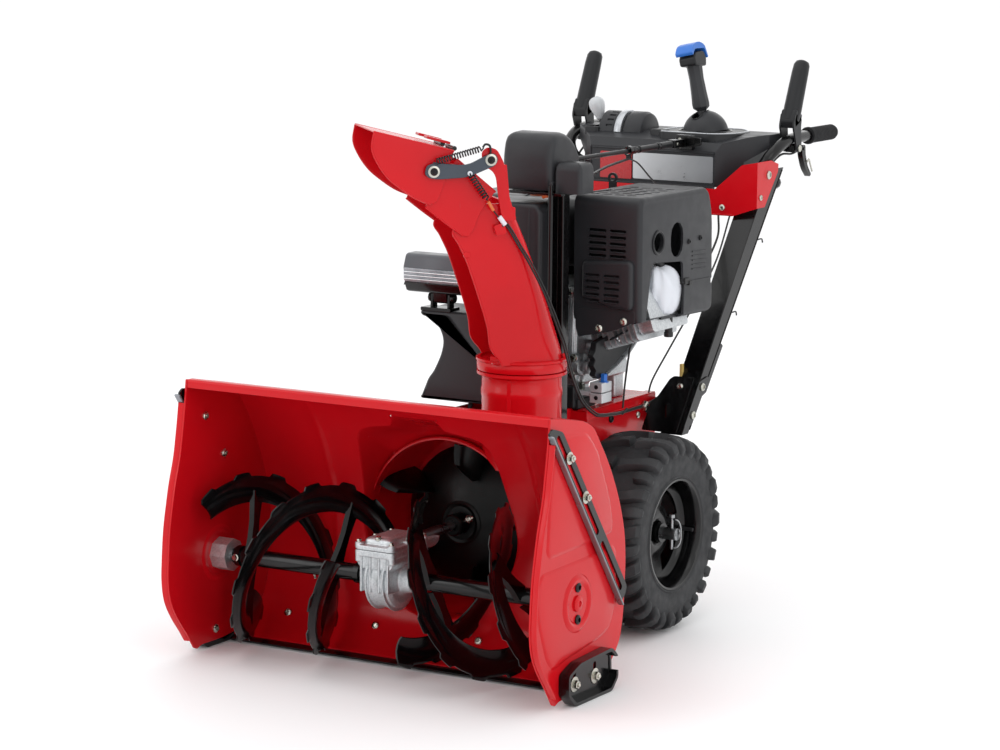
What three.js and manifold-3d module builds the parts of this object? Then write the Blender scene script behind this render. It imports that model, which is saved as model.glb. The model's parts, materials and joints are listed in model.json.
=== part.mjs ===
// Two stage snowblower, built from separate sub-parts. Millimetres, +Z up.
// Inside this file every piece is placed in the machine frame: X to the side, Y rearwards from the
// housing's top front lip, Z up from the ground. The exported group shifts it so that the origin is
// at the middle of the footprint. The front of the machine looks along -Y.
import * as THREE from "three";
import { mergeVertices } from "three/addons/utils/BufferGeometryUtils.js";
import Module from "manifold-3d";

const wasm = await Module();
wasm.setup();

// ---------------------------------------------------------------- driving dimensions
const GAP = 0.4; // clearance between pieces that touch
const SHEET = 3; // sheet steel of the housing and frame
const FRONT_Y = -69; // foremost edge of the side plates
const REAR_Y = 1515; // end of the grips
const ORIGIN_Y = (FRONT_Y + REAR_Y) / 2;

const HOUSING_HALF = 411; // outer face of a side plate
const SIDE_SHEET = 4;
const INNER_HALF = HOUSING_HALF - SIDE_SHEET;
const HOUSING_TOP = 552;
const AUGER = { y: 102, z: 188, radius: 168, shaft: 12.5, tube: 17, pitch: 355, ribbon: 46 };
const DRUM = { z: 250, radius: 180, back: 455 };
const IMPELLER = { radius: 170, front: 306, back: 418, dish: 125, blades: 5 };
const CHUTE = { x: 132, y: 370, base: 573, ring: 88, half: 78, wall: 2.5, facing: 225 };
const WHEEL = { y: 696, z: 203, radius: 203, inner: 152, outer: 317, rim: 115, sides: 28 };
const FRAME = { front: 620, rear: 918, half: 140, top: 450, bottom: 130, noseHalf: 102 };
const CRANK_Z = 600;
const BELT_Y = 482; // front face of the auger belt
const CONSOLE = { half: 234, front: 1150, rear: 1345, wall: 4, flat: 152, corner: 96, hollow: 192 };
const GRIP = { x: 257, z: 966, start: 1388, radius: 17, tube: 12.5 };
const STICK = { x: 80, y: 1245, z: 972, dome: 50, lean: -12 };

// ---------------------------------------------------------------- materials
const finish = (color, roughness, metalness = 0) =>
  new THREE.MeshStandardMaterial({ color, roughness, metalness });
const RED = finish(0xb80f1c, 0.3);
const BLACK_PAINT = finish(0x151617, 0.35);
const PLASTIC = finish(0x38393b, 0.6);
const RUBBER = finish(0x2a2a2b, 0.85);
const ALUMINIUM = finish(0xb9bcbe, 0.45, 0.8);
const STEEL = finish(0x8d9093, 0.4, 0.9);
const LAMP = finish(0x6b6e72, 0.3);
const BLUE = finish(0x2f6fd0, 0.45);
const KNOB = finish(0xc9ccce, 0.4);

// ---------------------------------------------------------------- solids
/** A closed three.js geometry as a manifold solid. */
function solid(geometry) {
  const bare = geometry.clone();
  for (const name of Object.keys(bare.attributes)) if (name !== "position") bare.deleteAttribute(name);
  const merged = mergeVertices(bare, 1e-3);
  const made = new wasm.Manifold(
    new wasm.Mesh({
      numProp: 3,
      vertProperties: new Float32Array(merged.attributes.position.array),
      triVerts: new Uint32Array(merged.index.array),
    }),
  );
  return made.volume() < 0 ? flip(merged) : made;
}

/** The same mesh with its faces turned round. */
function flip(merged) {
  const faces = new Uint32Array(merged.index.array);
  for (let i = 0; i < faces.length; i += 3) [faces[i], faces[i + 1]] = [faces[i + 1], faces[i]];
  const vertProperties = new Float32Array(merged.attributes.position.array);
  return new wasm.Manifold(new wasm.Mesh({ numProp: 3, vertProperties, triVerts: faces }));
}

const join = (first, ...rest) => rest.reduce((sum, next) => sum.add(next), first);
const cut = (first, ...rest) => rest.reduce((left, next) => left.subtract(next), first);

/** A box between two corners. */
function box(x0, x1, y0, y1, z0, z1) {
  const g = new THREE.BoxGeometry(x1 - x0, y1 - y0, z1 - z0);
  return solid(g.translate((x0 + x1) / 2, (y0 + y1) / 2, (z0 + z1) / 2));
}

/** A cylinder along an axis, from one end to the other, centred on the two other coordinates. */
function rod(axis, radius, from, to, a, b, sides = 24, radiusTo = radius) {
  const g = new THREE.CylinderGeometry(radiusTo, radius, to - from, sides);
  g.rotateX(Math.PI / 2);
  const mid = (from + to) / 2;
  if (axis === "Z") return solid(g.translate(a, b, mid));
  if (axis === "X") return solid(g.rotateY(Math.PI / 2).translate(mid, a, b));
  return solid(g.rotateX(-Math.PI / 2).translate(a, mid, b));
}

const shapeOf = (points) => new THREE.Shape(points.map(([a, b]) => new THREE.Vector2(a, b)));
const extrude = (shape, depth) => new THREE.ExtrudeGeometry(shape, { depth, bevelEnabled: false });

/** An outline given in (Y, Z), extruded from x0 to x1. */
function slabX(points, x0, x1) {
  const g = extrude(shapeOf(points), x1 - x0);
  g.applyMatrix4(new THREE.Matrix4().set(0, 0, 1, x0, 1, 0, 0, 0, 0, 1, 0, 0, 0, 0, 0, 1));
  return solid(g);
}

/** An outline given in (X, Z), extruded from y0 to y1. */
function slabY(points, y0, y1) {
  const g = extrude(shapeOf(points), y1 - y0);
  g.applyMatrix4(new THREE.Matrix4().set(1, 0, 0, 0, 0, 0, 1, y0, 0, 1, 0, 0, 0, 0, 0, 1));
  return solid(g);
}

/** An outline given in (X, Y), extruded from z0 to z1. */
const slabZ = (points, z0, z1) => solid(extrude(shapeOf(points), z1 - z0).translate(0, 0, z0));

/** A polyline moved sideways by a distance, to its left, with mitred corners. */
function offset(points, distance) {
  const vectors = points.map(([a, b]) => new THREE.Vector2(a, b));
  return vectors.map((p, i) => {
    const before = vectors[Math.max(i - 1, 0)];
    const after = vectors[Math.min(i + 1, vectors.length - 1)];
    const d1 = (i ? p.clone().sub(before) : after.clone().sub(p)).normalize();
    const d2 = (i < vectors.length - 1 ? after.clone().sub(p) : p.clone().sub(before)).normalize();
    const normal = new THREE.Vector2(-d1.y - d2.y, d1.x + d2.x).normalize();
    const reach = distance / (normal.x * -d1.y + normal.y * d1.x);
    return [p.x + normal.x * reach, p.y + normal.y * reach];
  });
}

/** A strip of sheet that follows a polyline, lying on its left. */
const strip = (points, thickness) => [...points, ...offset(points, thickness).reverse()];

/** The solid of revolution of a closed profile of (radius, position) about an axis. */
function turned(profile, axis, a, b, sides) {
  const closed = [...profile, profile[0]].map(([r, h]) => new THREE.Vector2(r, h));
  const g = new THREE.LatheGeometry(closed, sides); // about Y
  if (axis === "X") g.rotateZ(-Math.PI / 2).translate(0, a, b);
  if (axis === "Y") g.translate(a, 0, b);
  if (axis === "Z") g.rotateX(Math.PI / 2).translate(a, b, 0);
  return solid(g);
}

/** A round bar along a smooth curve through points. */
function pipe(points, radius, sides = 10, steps = 40, tension = 0.5) {
  const line = points.map((p) => new THREE.Vector3(...p));
  const path = new THREE.CatmullRomCurve3(line, false, "catmullrom", tension);
  const ring = Array.from({ length: sides }, (_, i) => {
    const a = (i / sides) * Math.PI * 2;
    return new THREE.Vector2(Math.cos(a) * radius, Math.sin(a) * radius);
  });
  return solid(new THREE.ExtrudeGeometry(new THREE.Shape(ring), { steps, extrudePath: path }));
}

/** Turns a solid about a point, by degrees round x, y and z. */
const turn = (s, [x, y, z], angles) => s.translate(-x, -y, -z).rotate(...angles).translate(x, y, z);

const mirrorX = (s) => s.mirror([1, 0, 0]);

const machine = new THREE.Group();
machine.position.set(0, -ORIGIN_Y, 0);

/** Adds a solid to the machine as one named mesh. */
function add(name, made, material) {
  const { vertProperties, triVerts } = made.getMesh();
  const g = new THREE.BufferGeometry();
  g.setAttribute("position", new THREE.BufferAttribute(vertProperties, 3));
  g.setIndex(new THREE.BufferAttribute(triVerts, 1));
  const mesh = new THREE.Mesh(g, material);
  mesh.name = name;
  machine.add(mesh);
}

/** Adds a piece for the +X side and its mirror image for the -X side. */
function addPair(name, made, material) {
  add(name + "_left", made, material);
  add(name + "_right", mirrorX(made), material);
}

// ---------------------------------------------------------------- auger housing
// (Y, Z) of the housing's sheet, from the top lip over the top and down the back to the scraper.
const HOUSING_LINE = [
  [0, 532], [0, HOUSING_TOP], [118, 546], [160, 524], [196, 474], [226, 420], [252, 358],
  [276, 290], [284, 235], [280, 150], [262, 84], [232, 46], [190, 24], [150, 12],
];

function augerHousing() {
  const shell = slabX(strip(HOUSING_LINE, -SHEET), -INNER_HALF + GAP, INNER_HALF - GAP);
  return cut(shell, rod("Y", DRUM.radius - SHEET, 150, 320, 0, DRUM.z, 40));
}

/** All the space in front of the housing's sheet, grown by a small gap. */
function housingRegion() {
  const outer = offset(HOUSING_LINE, GAP).slice(1);
  return slabX([...outer, [-200, 12], [-200, HOUSING_TOP]], -500, 500);
}

function impellerDrum() {
  const { z, radius, back } = DRUM;
  const neckInner = CHUTE.ring - 12;
  const outer = join(
    rod("Y", radius, 200, back, 0, z, 40),
    rod("Z", neckInner + SHEET, 330, CHUTE.base - 9, CHUTE.x, CHUTE.y, 32),
    rod("Z", CHUTE.ring + 1, CHUTE.base - 9, CHUTE.base - 1, CHUTE.x, CHUTE.y, 32),
  );
  const inner = join(
    rod("Y", radius - SHEET, 190, back - SHEET, 0, z, 40),
    rod("Z", neckInner, 333, CHUTE.base + 1, CHUTE.x, CHUTE.y, 32),
    rod("Y", 12, back - 10, back + 10, 0, z, 20),
  );
  return cut(outer, inner, housingRegion());
}

// (Y, Z) outline of a side plate.
const SIDE_OUTLINE = [
  [-3, 556], [140, 548], [164, 526], [228, 442], [268, 356], [290, 291], [295, 235], [289, 135],
  [276, 82], [251, 55], [215, 24], [110, 12], [41, 12], [27, 10], [16, 18], [-5, 40], [-40, 82],
  [-62, 118], [FRONT_Y, 160], [-67, 200], [-62, 262], [-43, 350], [-26, 400], [-13, 475],
];

function sidePlate() {
  const { y, z } = AUGER;
  return cut(slabX(SIDE_OUTLINE, INNER_HALF, HOUSING_HALF), rod("X", 15, 390, 430, y, z, 20));
}

function scraperBlade() {
  const line = [[136, 3], [190, 17], [226, 38]];
  return slabX(strip(line, 4), -INNER_HALF + 2, INNER_HALF - 2);
}

/** A reversible skid shoe: a slotted plate with a rim all round that makes the runner. */
function skid() {
  const x0 = HOUSING_HALF + GAP;
  const outline = [[38, 24], [66, 0], [206, 0], [230, 22], [228, 66], [204, 85], [82, 80], [38, 64]];
  const inset = [[43, 27], [68, 5], [204, 5], [225, 25], [223, 63], [202, 80], [84, 75], [43, 60]];
  const slots = [88, 166].map((y) => box(x0 - 1, x0 + 6, y - 5, y + 5, 22, 62));
  return cut(slabX(outline, x0, x0 + 30), slabX(inset, x0 + 5, x0 + 40), ...slots);
}

/** A bearing housing inside a side plate. */
function augerBearing() {
  const { y, z } = AUGER;
  const body = rod("X", 33, INNER_HALF - 36, INNER_HALF - GAP, y, z, 8);
  return cut(body, rod("X", 13.2, 360, 420, y, z, 24));
}

/** A slotted drift cutter bar that lies across the outside of a side plate. */
const CUTTER = { top: [-6, 531], length: 463, angle: -52.8, width: 46 };
function driftCutter() {
  const x0 = HOUSING_HALF + GAP;
  const { length, width } = CUTTER;
  const flat = cut(
    box(x0, x0 + 4, 0, length, -width / 2, width / 2),
    box(x0 - 1, x0 + 5, 26, 290, -6, 6),
    box(x0 - 1, x0 + 5, 312, 446, -6, 6),
    slabX([[-1, width / 2 + 1], [-1, -6], [24, width / 2 + 1]], x0 - 1, x0 + 5),
  );
  const lip = box(x0, x0 + 22, 6, length, -width / 2 - 4, -width / 2);
  return turn(join(flat, lip), [0, 0, 0], [CUTTER.angle, 0, 0]).translate(0, ...CUTTER.top);
}

// ---------------------------------------------------------------- augers
/** One serrated ribbon flight that winds round the auger's shaft between two x positions. */
function flight(x0, x1, startAngle, hand) {
  const { y, z, radius, ribbon, pitch } = AUGER;
  const degrees = ((x1 - x0) / pitch) * 360;
  const steps = 34;
  const half = 2.2;
  const rows = [];
  for (let i = 0; i <= steps; i++) {
    const t = i / steps;
    const angle = ((startAngle + hand * degrees * t) * Math.PI) / 180;
    const x = x0 + (x1 - x0) * t;
    const notch = i % 3 === 1 ? 7 : 0;
    const taper = Math.min(1, Math.min(t, 1 - t) * 9 + 0.35);
    const outer = radius - notch - (1 - taper) * 6;
    const inner = radius - ribbon * taper;
    for (const [r, dx] of [[inner, -half], [outer, -half], [outer, half], [inner, half]])
      rows.push([x + dx, y - Math.cos(angle) * r, z + Math.sin(angle) * r]);
  }
  return skin(rows, 4);
}

/** A closed body from rings of points, each ring with the same count, capped at both ends. */
function skin(points, count) {
  const rings = points.length / count;
  const faces = [];
  for (let r = 0; r < rings - 1; r++)
    for (let k = 0; k < count; k++) {
      const a = r * count + k;
      const b = r * count + ((k + 1) % count);
      faces.push(a, b, b + count, a, b + count, a + count);
    }
  const last = (rings - 1) * count;
  for (let k = 1; k < count - 1; k++) faces.push(0, k + 1, k, last, last + k, last + k + 1);
  const g = new THREE.BufferGeometry();
  g.setAttribute("position", new THREE.Float32BufferAttribute(points.flat(), 3));
  g.setIndex(faces);
  return solid(g);
}

/** A flat spoke from the tube out to a flight, at a place along the auger. */
function spoke(x, angle) {
  const { y, z, radius, ribbon } = AUGER;
  const reach = radius - ribbon + 8;
  const arm = slabX([[-19, 8], [19, 8], [13, reach], [-13, reach]], x - 2.5, x + 2.5);
  return turn(arm, [0, 0, 0], [angle - 90, 0, 0]).translate(0, y, z);
}

/** One auger: its tube, two flights half a turn apart, and two spokes to each. */
function auger(x0, x1, startAngle, hand) {
  const { y, z, tube, shaft, pitch } = AUGER;
  const parts = [rod("X", tube, x0 + 10, x1 - 10, y, z, 16)];
  const perMm = (360 / pitch) * hand;
  for (const phase of [0, 180]) {
    parts.push(flight(x0, x1, startAngle + phase, hand));
    for (const t of [0.22, 0.78]) {
      const x = x0 + (x1 - x0) * t;
      parts.push(spoke(x, -(startAngle + phase + perMm * (x - x0)) + 180));
    }
  }
  return cut(join(...parts), rod("X", shaft + GAP, x0 - 5, x1 + 5, y, z, 20));
}

// ---------------------------------------------------------------- auger gearbox and impeller
const BOX = { half: 30, wheel: 44, case: 58, worm: 17 };

/** The gearbox as one casting, before it is split at the worm's axis. */
function gearboxBody() {
  const { y, z, shaft } = AUGER;
  const body = join(
    rod("X", BOX.case, -BOX.half, BOX.half, y, z, 24),
    rod("X", 24, -54, 54, y, z, 16),
    rod("Y", 29, 34, 236, 0, DRUM.z, 24),
    box(-BOX.half - 12, BOX.half + 12, 40, 168, DRUM.z - 10, DRUM.z + 10),
  );
  const hollow = join(
    rod("X", BOX.case - 7, -BOX.half + 7, BOX.half - 7, y, z, 24),
    rod("X", shaft + 0.9, -60, 60, y, z, 20),
    rod("Y", BOX.worm + 3, 44, 180, 0, DRUM.z, 20),
    rod("Y", 11, 170, 250, 0, DRUM.z, 20),
  );
  return cut(body, hollow);
}

function wormWheel() {
  const { y, z, shaft } = AUGER;
  const teeth = 20;
  const outline = Array.from({ length: teeth * 4 }, (_, i) => {
    const a = ((i + 0.5) / (teeth * 4)) * Math.PI * 2;
    const r = i % 4 < 2 ? BOX.wheel : BOX.wheel - 5;
    return [Math.cos(a) * r, Math.sin(a) * r];
  });
  const disc = slabX(outline, -9, 9).translate(0, y, z);
  return cut(disc, rod("X", shaft + GAP, -10, 10, y, z, 20));
}

/** The impeller shaft with the worm that drives the auger's wheel. */
function impellerShaft() {
  const worm = Array.from({ length: 4 }, (_, i) => {
    const y = 78 + i * 16;
    return turned([[9, y - 6], [BOX.worm, y - 2], [BOX.worm, y + 2], [9, y + 6]], "Y", 0, DRUM.z, 12);
  });
  return join(rod("Y", 10, 50, 508, 0, DRUM.z, 12), ...worm);
}

/** The impeller: a hub, a dished back and paddles that scoop forwards. */
function impeller() {
  const { z } = DRUM;
  const { radius, front, back, dish, blades } = IMPELLER;
  const cone = turned(
    [[18, back - 48], [40, back - 48], [dish, back - 6], [dish, back], [40, back - 40], [18, back - 2]],
    "Y", 0, z, 28,
  );
  const hub = rod("Y", 22, back - 78, back - 4, 0, z, 20);
  const paddles = Array.from({ length: blades }, (_, i) => {
    const flatPart = box(-2.5, 2.5, front, back - 8, 44, radius - 1.5);
    const lip = box(-26, 2.5, front, front + 5, 88, radius - 6);
    return turn(join(flatPart, lip), [0, 0, 0], [0, 18 + (i * 360) / blades, 0]).translate(0, 0, z);
  });
  return cut(join(cone, hub, ...paddles), rod("Y", 10 + GAP, 300, 430, 0, z, 20));
}

/** A grooved belt pulley about a Y axis, at a height. */
function pulley(radius, z, bore) {
  const y = BELT_Y;
  const rim = [[bore, y - 4], [radius + 5, y - 4], [radius + 5, y - 2], [radius - 4, y + 3],
    [radius - 4, y + 9], [radius + 5, y + 14], [radius + 5, y + 16], [bore, y + 16]];
  return turned(rim, "Y", 0, z, 28);
}

const PULLEY = { impeller: 84, crank: 36 };

/** The belt round both pulleys, with a gap to each. */
function augerBelt() {
  const loop = (grow) => {
    const big = PULLEY.impeller + grow;
    const small = PULLEY.crank + grow;
    const tilt = Math.asin((big - small) / (CRANK_Z - DRUM.z));
    const points = [];
    for (let i = 0; i <= 14; i++) {
      const a = tilt + ((Math.PI - 2 * tilt) * i) / 14;
      points.push([Math.cos(a) * small, CRANK_Z + Math.sin(a) * small]);
    }
    for (let i = 0; i <= 24; i++) {
      const a = Math.PI - tilt + ((Math.PI + 2 * tilt) * i) / 24;
      points.push([Math.cos(a) * big, DRUM.z + Math.sin(a) * big]);
    }
    return points;
  };
  return cut(slabY(loop(6), BELT_Y + 4, BELT_Y + 8), slabY(loop(-2), BELT_Y, BELT_Y + 12));
}

// ---------------------------------------------------------------- chute and deflectors
// Built with its mouth looking along +X (u), its side along Y (v), and its axis on the origin,
// then turned to face the way it is parked.
const BACK_LINE = [[592, -80], [629, -68], [704, -40], [791, -4], [857, 24], [884, 36], [908, 50]];
const FRONT_LINE = [[592, 60], [604, 66], [617, 77], [632, 85], [664, 89], [687, 95], [722, 106],
  [761, 119], [800, 133], [831, 148], [856, 160], [884, 130], [908, 96]];

/** A value read from a table of (height, value), in straight steps. */
function read(table, height) {
  for (let i = 1; i < table.length; i++)
    if (height <= table[i][0]) {
      const [h0, v0] = table[i - 1];
      const [h1, v1] = table[i];
      return v0 + ((v1 - v0) * (height - h0)) / (h1 - h0);
    }
  return table.at(-1)[1];
}

/** The U-shaped section of the chute at a height, inner wall then outer wall, as points. */
function chuteSection(height) {
  const back = read(BACK_LINE, height);
  const front = read(FRONT_LINE, height);
  const round = THREE.MathUtils.lerp(CHUTE.half, 24, Math.min(1, (height - 596) / 240));
  const wall = (half, rear, radius) => {
    const points = [[front, half]];
    for (let i = 0; i <= 6; i++) {
      const a = (Math.PI / 2) * (1 + i / 6);
      points.push([rear + radius + Math.cos(a) * radius, half - radius + Math.sin(a) * radius]);
    }
    return [...points, ...points.map(([u, v]) => [u, -v]).reverse()];
  };
  const inner = wall(CHUTE.half, back, round - 1);
  const outer = wall(CHUTE.half + CHUTE.wall, back - CHUTE.wall, round - 1 + CHUTE.wall);
  return [...inner, ...outer.reverse()].map(([u, v]) => [u, v, height]);
}

/** A closed body from stacked sections that are strips folded back on themselves. */
function stackedShell(heights, section) {
  const rows = heights.map(section);
  const count = rows[0].length;
  const half = count / 2;
  const faces = [];
  const at = (r, k) => r * count + ((k + count) % count);
  for (let r = 0; r < rows.length - 1; r++)
    for (let k = 0; k < count; k++)
      faces.push(at(r, k), at(r, k + 1), at(r + 1, k + 1), at(r, k), at(r + 1, k + 1), at(r + 1, k));
  const top = rows.length - 1;
  for (let k = 0; k < half - 1; k++) {
    const far = count - 1 - k;
    faces.push(at(0, k), at(0, far), at(0, k + 1), at(0, k + 1), at(0, far), at(0, far - 1));
    faces.push(at(top, k), at(top, k + 1), at(top, far), at(top, k + 1), at(top, far - 1), at(top, far));
  }
  const g = new THREE.BufferGeometry();
  g.setAttribute("position", new THREE.Float32BufferAttribute(rows.flat(2), 3));
  g.setIndex(faces);
  return solid(g);
}

/** An outline given in (u, z), extruded between two v positions. */
const plateV = (points, v0, v1) => slabY(points, v0, v1);

const HINGE = { lower: [74, 934], hood: [158, 1006], mast: [88, 994], link: [201, 972] };

function chuteBody() {
  const heights = [592, 604, 617, 632, 664, 704, 761, 800, 831, 856, 884, 908];
  const wall = stackedShell(heights, chuteSection);
  const ring = turned(
    [[76, CHUTE.base], [CHUTE.ring, CHUTE.base], [CHUTE.ring, 594], [82, 597], [74, 597]], "Z", 0, 0, 32);
  const mast = plateV([[38, 880], [66, 880], [76, 918], [80, 968], [106, 984], [106, 1012], [74, 1012],
    [60, 984], [54, 918]], CHUTE.half + 11, CHUTE.half + 14);
  const spacer = box(40, 64, CHUTE.half, CHUTE.half + 14, 882, 900);
  const tab = box(58, 84, CHUTE.half, CHUTE.half + 16, 846, 850);
  return join(wall, ring, mast, spacer, tab);
}

/** Side plates at both sides joined by a top sheet. */
function deflector(outline, topLine, v) {
  const sides = [plateV(outline, v, v + CHUTE.wall), plateV(outline, -v - CHUTE.wall, -v)];
  return join(...sides, plateV(strip(topLine, -CHUTE.wall), -v - CHUTE.wall, v + CHUTE.wall));
}

const LOWER_OUTLINE = [[216, 904], [142, 848], [132, 845], [120, 860], [112, 884], [98, 908],
  [78, 932], [116, 964], [154, 996], [190, 960]];
const LOWER_TOP = [[78, 932], [116, 964], [154, 996]];
const HOOD_OUTLINE = [[318, 1051], [322, 1018], [311, 991], [291, 963], [264, 940], [237, 922],
  [206, 909], [194, 914], [184, 938], [178, 958], [161, 1012]];
const HOOD_TOP = [[161, 1012], [240, 1032], [318, 1051]];

const lowerDeflector = () => deflector(LOWER_OUTLINE, LOWER_TOP, CHUTE.half + 4);
const hood = () => deflector(HOOD_OUTLINE, HOOD_TOP, CHUTE.half + 8);

/** The bent bar that ties the hood to the mast. */
function linkArm() {
  const v = CHUTE.half + 16;
  const bar = plateV([[216, 983], [220, 968], [210, 960], [192, 958], [136, 961], [82, 983], [76, 996],
    [84, 1007], [96, 1004], [138, 983], [200, 988]], v, v + 4);
  const heads = [HINGE.link, HINGE.mast].map(([u, z]) => rod("Y", 10, v + 3.5, v + 9.5, u, z, 16));
  return join(bar, ...heads);
}

/** Puts a piece built in the chute's own frame where the chute stands. */
const onChute = (s) => s.rotate(0, 0, CHUTE.facing).translate(CHUTE.x, CHUTE.y, 0);

// ---------------------------------------------------------------- chute drive, belt cover, lamp
const DRIVE = { x: 131, y: 478, pinion: 19.5 };

function chuteDriveShaft() {
  const teeth = 8;
  const outline = Array.from({ length: teeth * 4 }, (_, i) => {
    const a = ((i + 0.5) / (teeth * 4)) * Math.PI * 2;
    const r = i % 4 < 2 ? DRIVE.pinion : DRIVE.pinion - 5;
    return [DRIVE.x + Math.cos(a) * r, DRIVE.y + Math.sin(a) * r];
  });
  return join(slabZ(outline, CHUTE.base + 3, CHUTE.base + 19),
    rod("Z", 5, CHUTE.base + 10, 925, DRIVE.x, DRIVE.y, 12));
}

/** The post beside the belt cover, with the shelf that carries the drive under its cap. */
function chuteColumn() {
  const post = cut(box(116, 146, 502, 530, 300, 906), box(119, 143, 498, 527, 480, 900));
  const foot = box(FRAME.noseHalf + GAP, 118, 502, 530, 300, 420);
  const shelf = box(28, 160, 478, 600, 904, 909);
  const cap = cut(box(130, 192, 488, 552, 908, 970), slabX([[520, 975], [556, 975], [556, 955]], 120, 200));
  return cut(join(post, foot, shelf, cap), rod("Z", 6, 880, 930, DRIVE.x, DRIVE.y, 16));
}

/** The rounded cap over the chute drive. */
function gearCap() {
  const outer = [[484, 911], [484, 994], [489, 1012], [504, 1023], [548, 1026], [586, 1010],
    [614, 978], [620, 950], [620, 911]];
  const inner = [[488, 905], [488, 994], [493, 1009], [506, 1019], [547, 1022], [583, 1007],
    [610, 976], [616, 950], [616, 905]];
  const shell = cut(slabX(outer, 12, 126), slabX(inner, 16, 122));
  return cut(shell, rod("Y", 9, 600, 640, 82, 960, 16));
}

// (X, Z) outline of the belt cover, with its arm for the lamp.
const COVER_OUTLINE = [
  [-158, 470], [110, 470], [110, 872], [100, 884], [-40, 884], [-58, 868], [-58, 656], [-172, 656],
  [-172, 642], [-150, 638], [-131, 624], [-120, 604], [-124, 584],
];

function beltCover() {
  const inner = [[-152, 465], [104, 465], [104, 868], [98, 878], [-36, 878], [-52, 866], [-52, 650],
    [-110, 650], [-116, 590]];
  const ears = [-152, -112].map((x) => box(x, x + 6, 484, 504, 650, 688));
  const shell = cut(slabY(COVER_OUTLINE, 474, 592), slabY(inner, 477, 600));
  return join(shell, box(-168, -98, 474, 512, 650, 661), ...ears);
}

const LAMP_BODY = { x0: -198, x1: -60, y0: 452, y1: 520, z0: 690, z1: 770 };
function headlamp() {
  const { x0, x1, y0, y1, z0, z1 } = LAMP_BODY;
  const body = slabX([[y0 + 8, z0 + 4], [y0, z0 + 26], [y0, z1 - 26], [y0 + 14, z1 - 2], [y1 - 16, z1],
    [y1, z1 - 20], [y1, z0 + 22], [y1 - 14, z0 + 4]], x0, x1);
  const tongue = box(-145, -113, 486, 502, 666, z0 + 10);
  return join(body, tongue);
}

// ---------------------------------------------------------------- traction frame, axle and wheels
function tractionFrame() {
  const { front, rear, half, top, bottom, noseHalf } = FRAME;
  const main = [[front, bottom], [front, top], [rear, top], [rear, 340], [868, bottom]];
  const nose = [[DRUM.back + GAP, 96], [DRUM.back + GAP, 455], [front + 10, 455], [front + 10, 96]];
  const outer = join(slabX(main, -half, half), slabX(nose, -noseHalf, noseHalf));
  const hollow = join(
    slabX([[front + SHEET, 80], [front + SHEET, top - SHEET], [rear - SHEET, top - SHEET],
      [rear - SHEET, 340], [864, 80]], -half + SHEET, half - SHEET),
    slabX([[DRUM.back + 4, 80], [DRUM.back + 4, 470], [front + 20, 470], [front + 20, 80]],
      -noseHalf + SHEET, noseHalf - SHEET),
  );
  const noseRear = box(-noseHalf, noseHalf, front, front + SHEET, 96, 455);
  const shaft = rod("Y", 12, 440, 480, 0, DRUM.z, 20);
  const belt = box(-noseHalf + SHEET, noseHalf - SHEET, 474, 520, 100, 480);
  return cut(join(cut(outer, hollow), noseRear), shaft, belt,
    rod("X", 14, -160, 160, WHEEL.y, WHEEL.z, 24));
}

function tyre() {
  const { y, z, radius, inner, outer, rim } = WHEEL;
  const r0 = rim - 3;
  const profile = [[r0, inner + 12], [r0 + 26, inner + 2], [r0 + 60, inner], [radius - 14, inner + 12],
    [radius - 3, inner + 24], [radius, inner + 60], [radius, outer - 60], [radius - 3, outer - 24],
    [radius - 14, outer - 12], [r0 + 60, outer], [r0 + 26, outer - 2], [r0, outer - 12]];
  return turned(profile, "X", y, z, WHEEL.sides);
}

/** A dished steel rim with four windows and a hub tube for the axle. */
function rimSolid() {
  const { y, z, inner, outer, rim } = WHEEL;
  const r = rim - 3 - GAP;
  const middle = outer - 58;
  const profile = [[r, inner + 12], [r, outer - 10], [r - 4, outer - 10], [r - 7, outer - 16],
    [r - 8, middle + 6], [44, middle + 4], [36, middle + 14], [20, middle + 14], [20, outer - 12],
    [13.2, outer - 12], [13.2, middle - 54], [20, middle - 54], [20, middle + 8], [36, middle + 8],
    [44, middle], [r - 6, middle], [r - 5, inner + 12]];
  const windows = [0, 90, 180, 270].map((a) =>
    turn(box(middle - 10, middle + 20, -26, 26, 58, 84), [0, 0, 0], [a + 20, 0, 0]).translate(0, y, z));
  return cut(turned(profile, "X", y, z, WHEEL.sides), ...windows);
}

const halfAxle = () => rod("X", 12.5, 2, WHEEL.outer - 4, WHEEL.y, WHEEL.z, 16);

// ---------------------------------------------------------------- engine
const COVER = { inner: 116, outer: 268, wall: 6 };

function crankcase() {
  const base = FRAME.top + GAP;
  const body = slabX([[652, 500], [652, 690], [680, 720], [840, 720], [868, 690], [868, 500]], -118, 98);
  const feet = [-104, 58].flatMap((x) => [664, 812].map((y) => box(x, x + 42, y, y + 40, base, 510)));
  const nose = rod("Y", 62, 616, 656, 0, CRANK_Z, 32);
  return cut(join(body, ...feet, nose), rod("Y", 15, 600, 760, 0, CRANK_Z, 20));
}

/** The crankshaft's front end with the pulley that drives the auger belt. */
const crankshaft = () => join(rod("Y", 14, BELT_Y - 4, 750, 0, CRANK_Z, 20),
  pulley(PULLEY.crank, CRANK_Z, 12));

/** The finned cylinder, leaning up to the +X side. */
function cylinderBlock() {
  const core = box(0, 118, 696, 826, -46, 46);
  const fins = Array.from({ length: 8 }, (_, i) => box(14 + i * 13, 18 + i * 13, 676, 846, -66, 66));
  const head = box(118, 150, 684, 838, -58, 58);
  return turn(join(core, ...fins, head), [0, 0, 0], [0, -18, 0]).translate(98 + GAP, 0, 626)
    .subtract(box(60, 98 + GAP, 600, 900, 480, 760));
}

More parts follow.
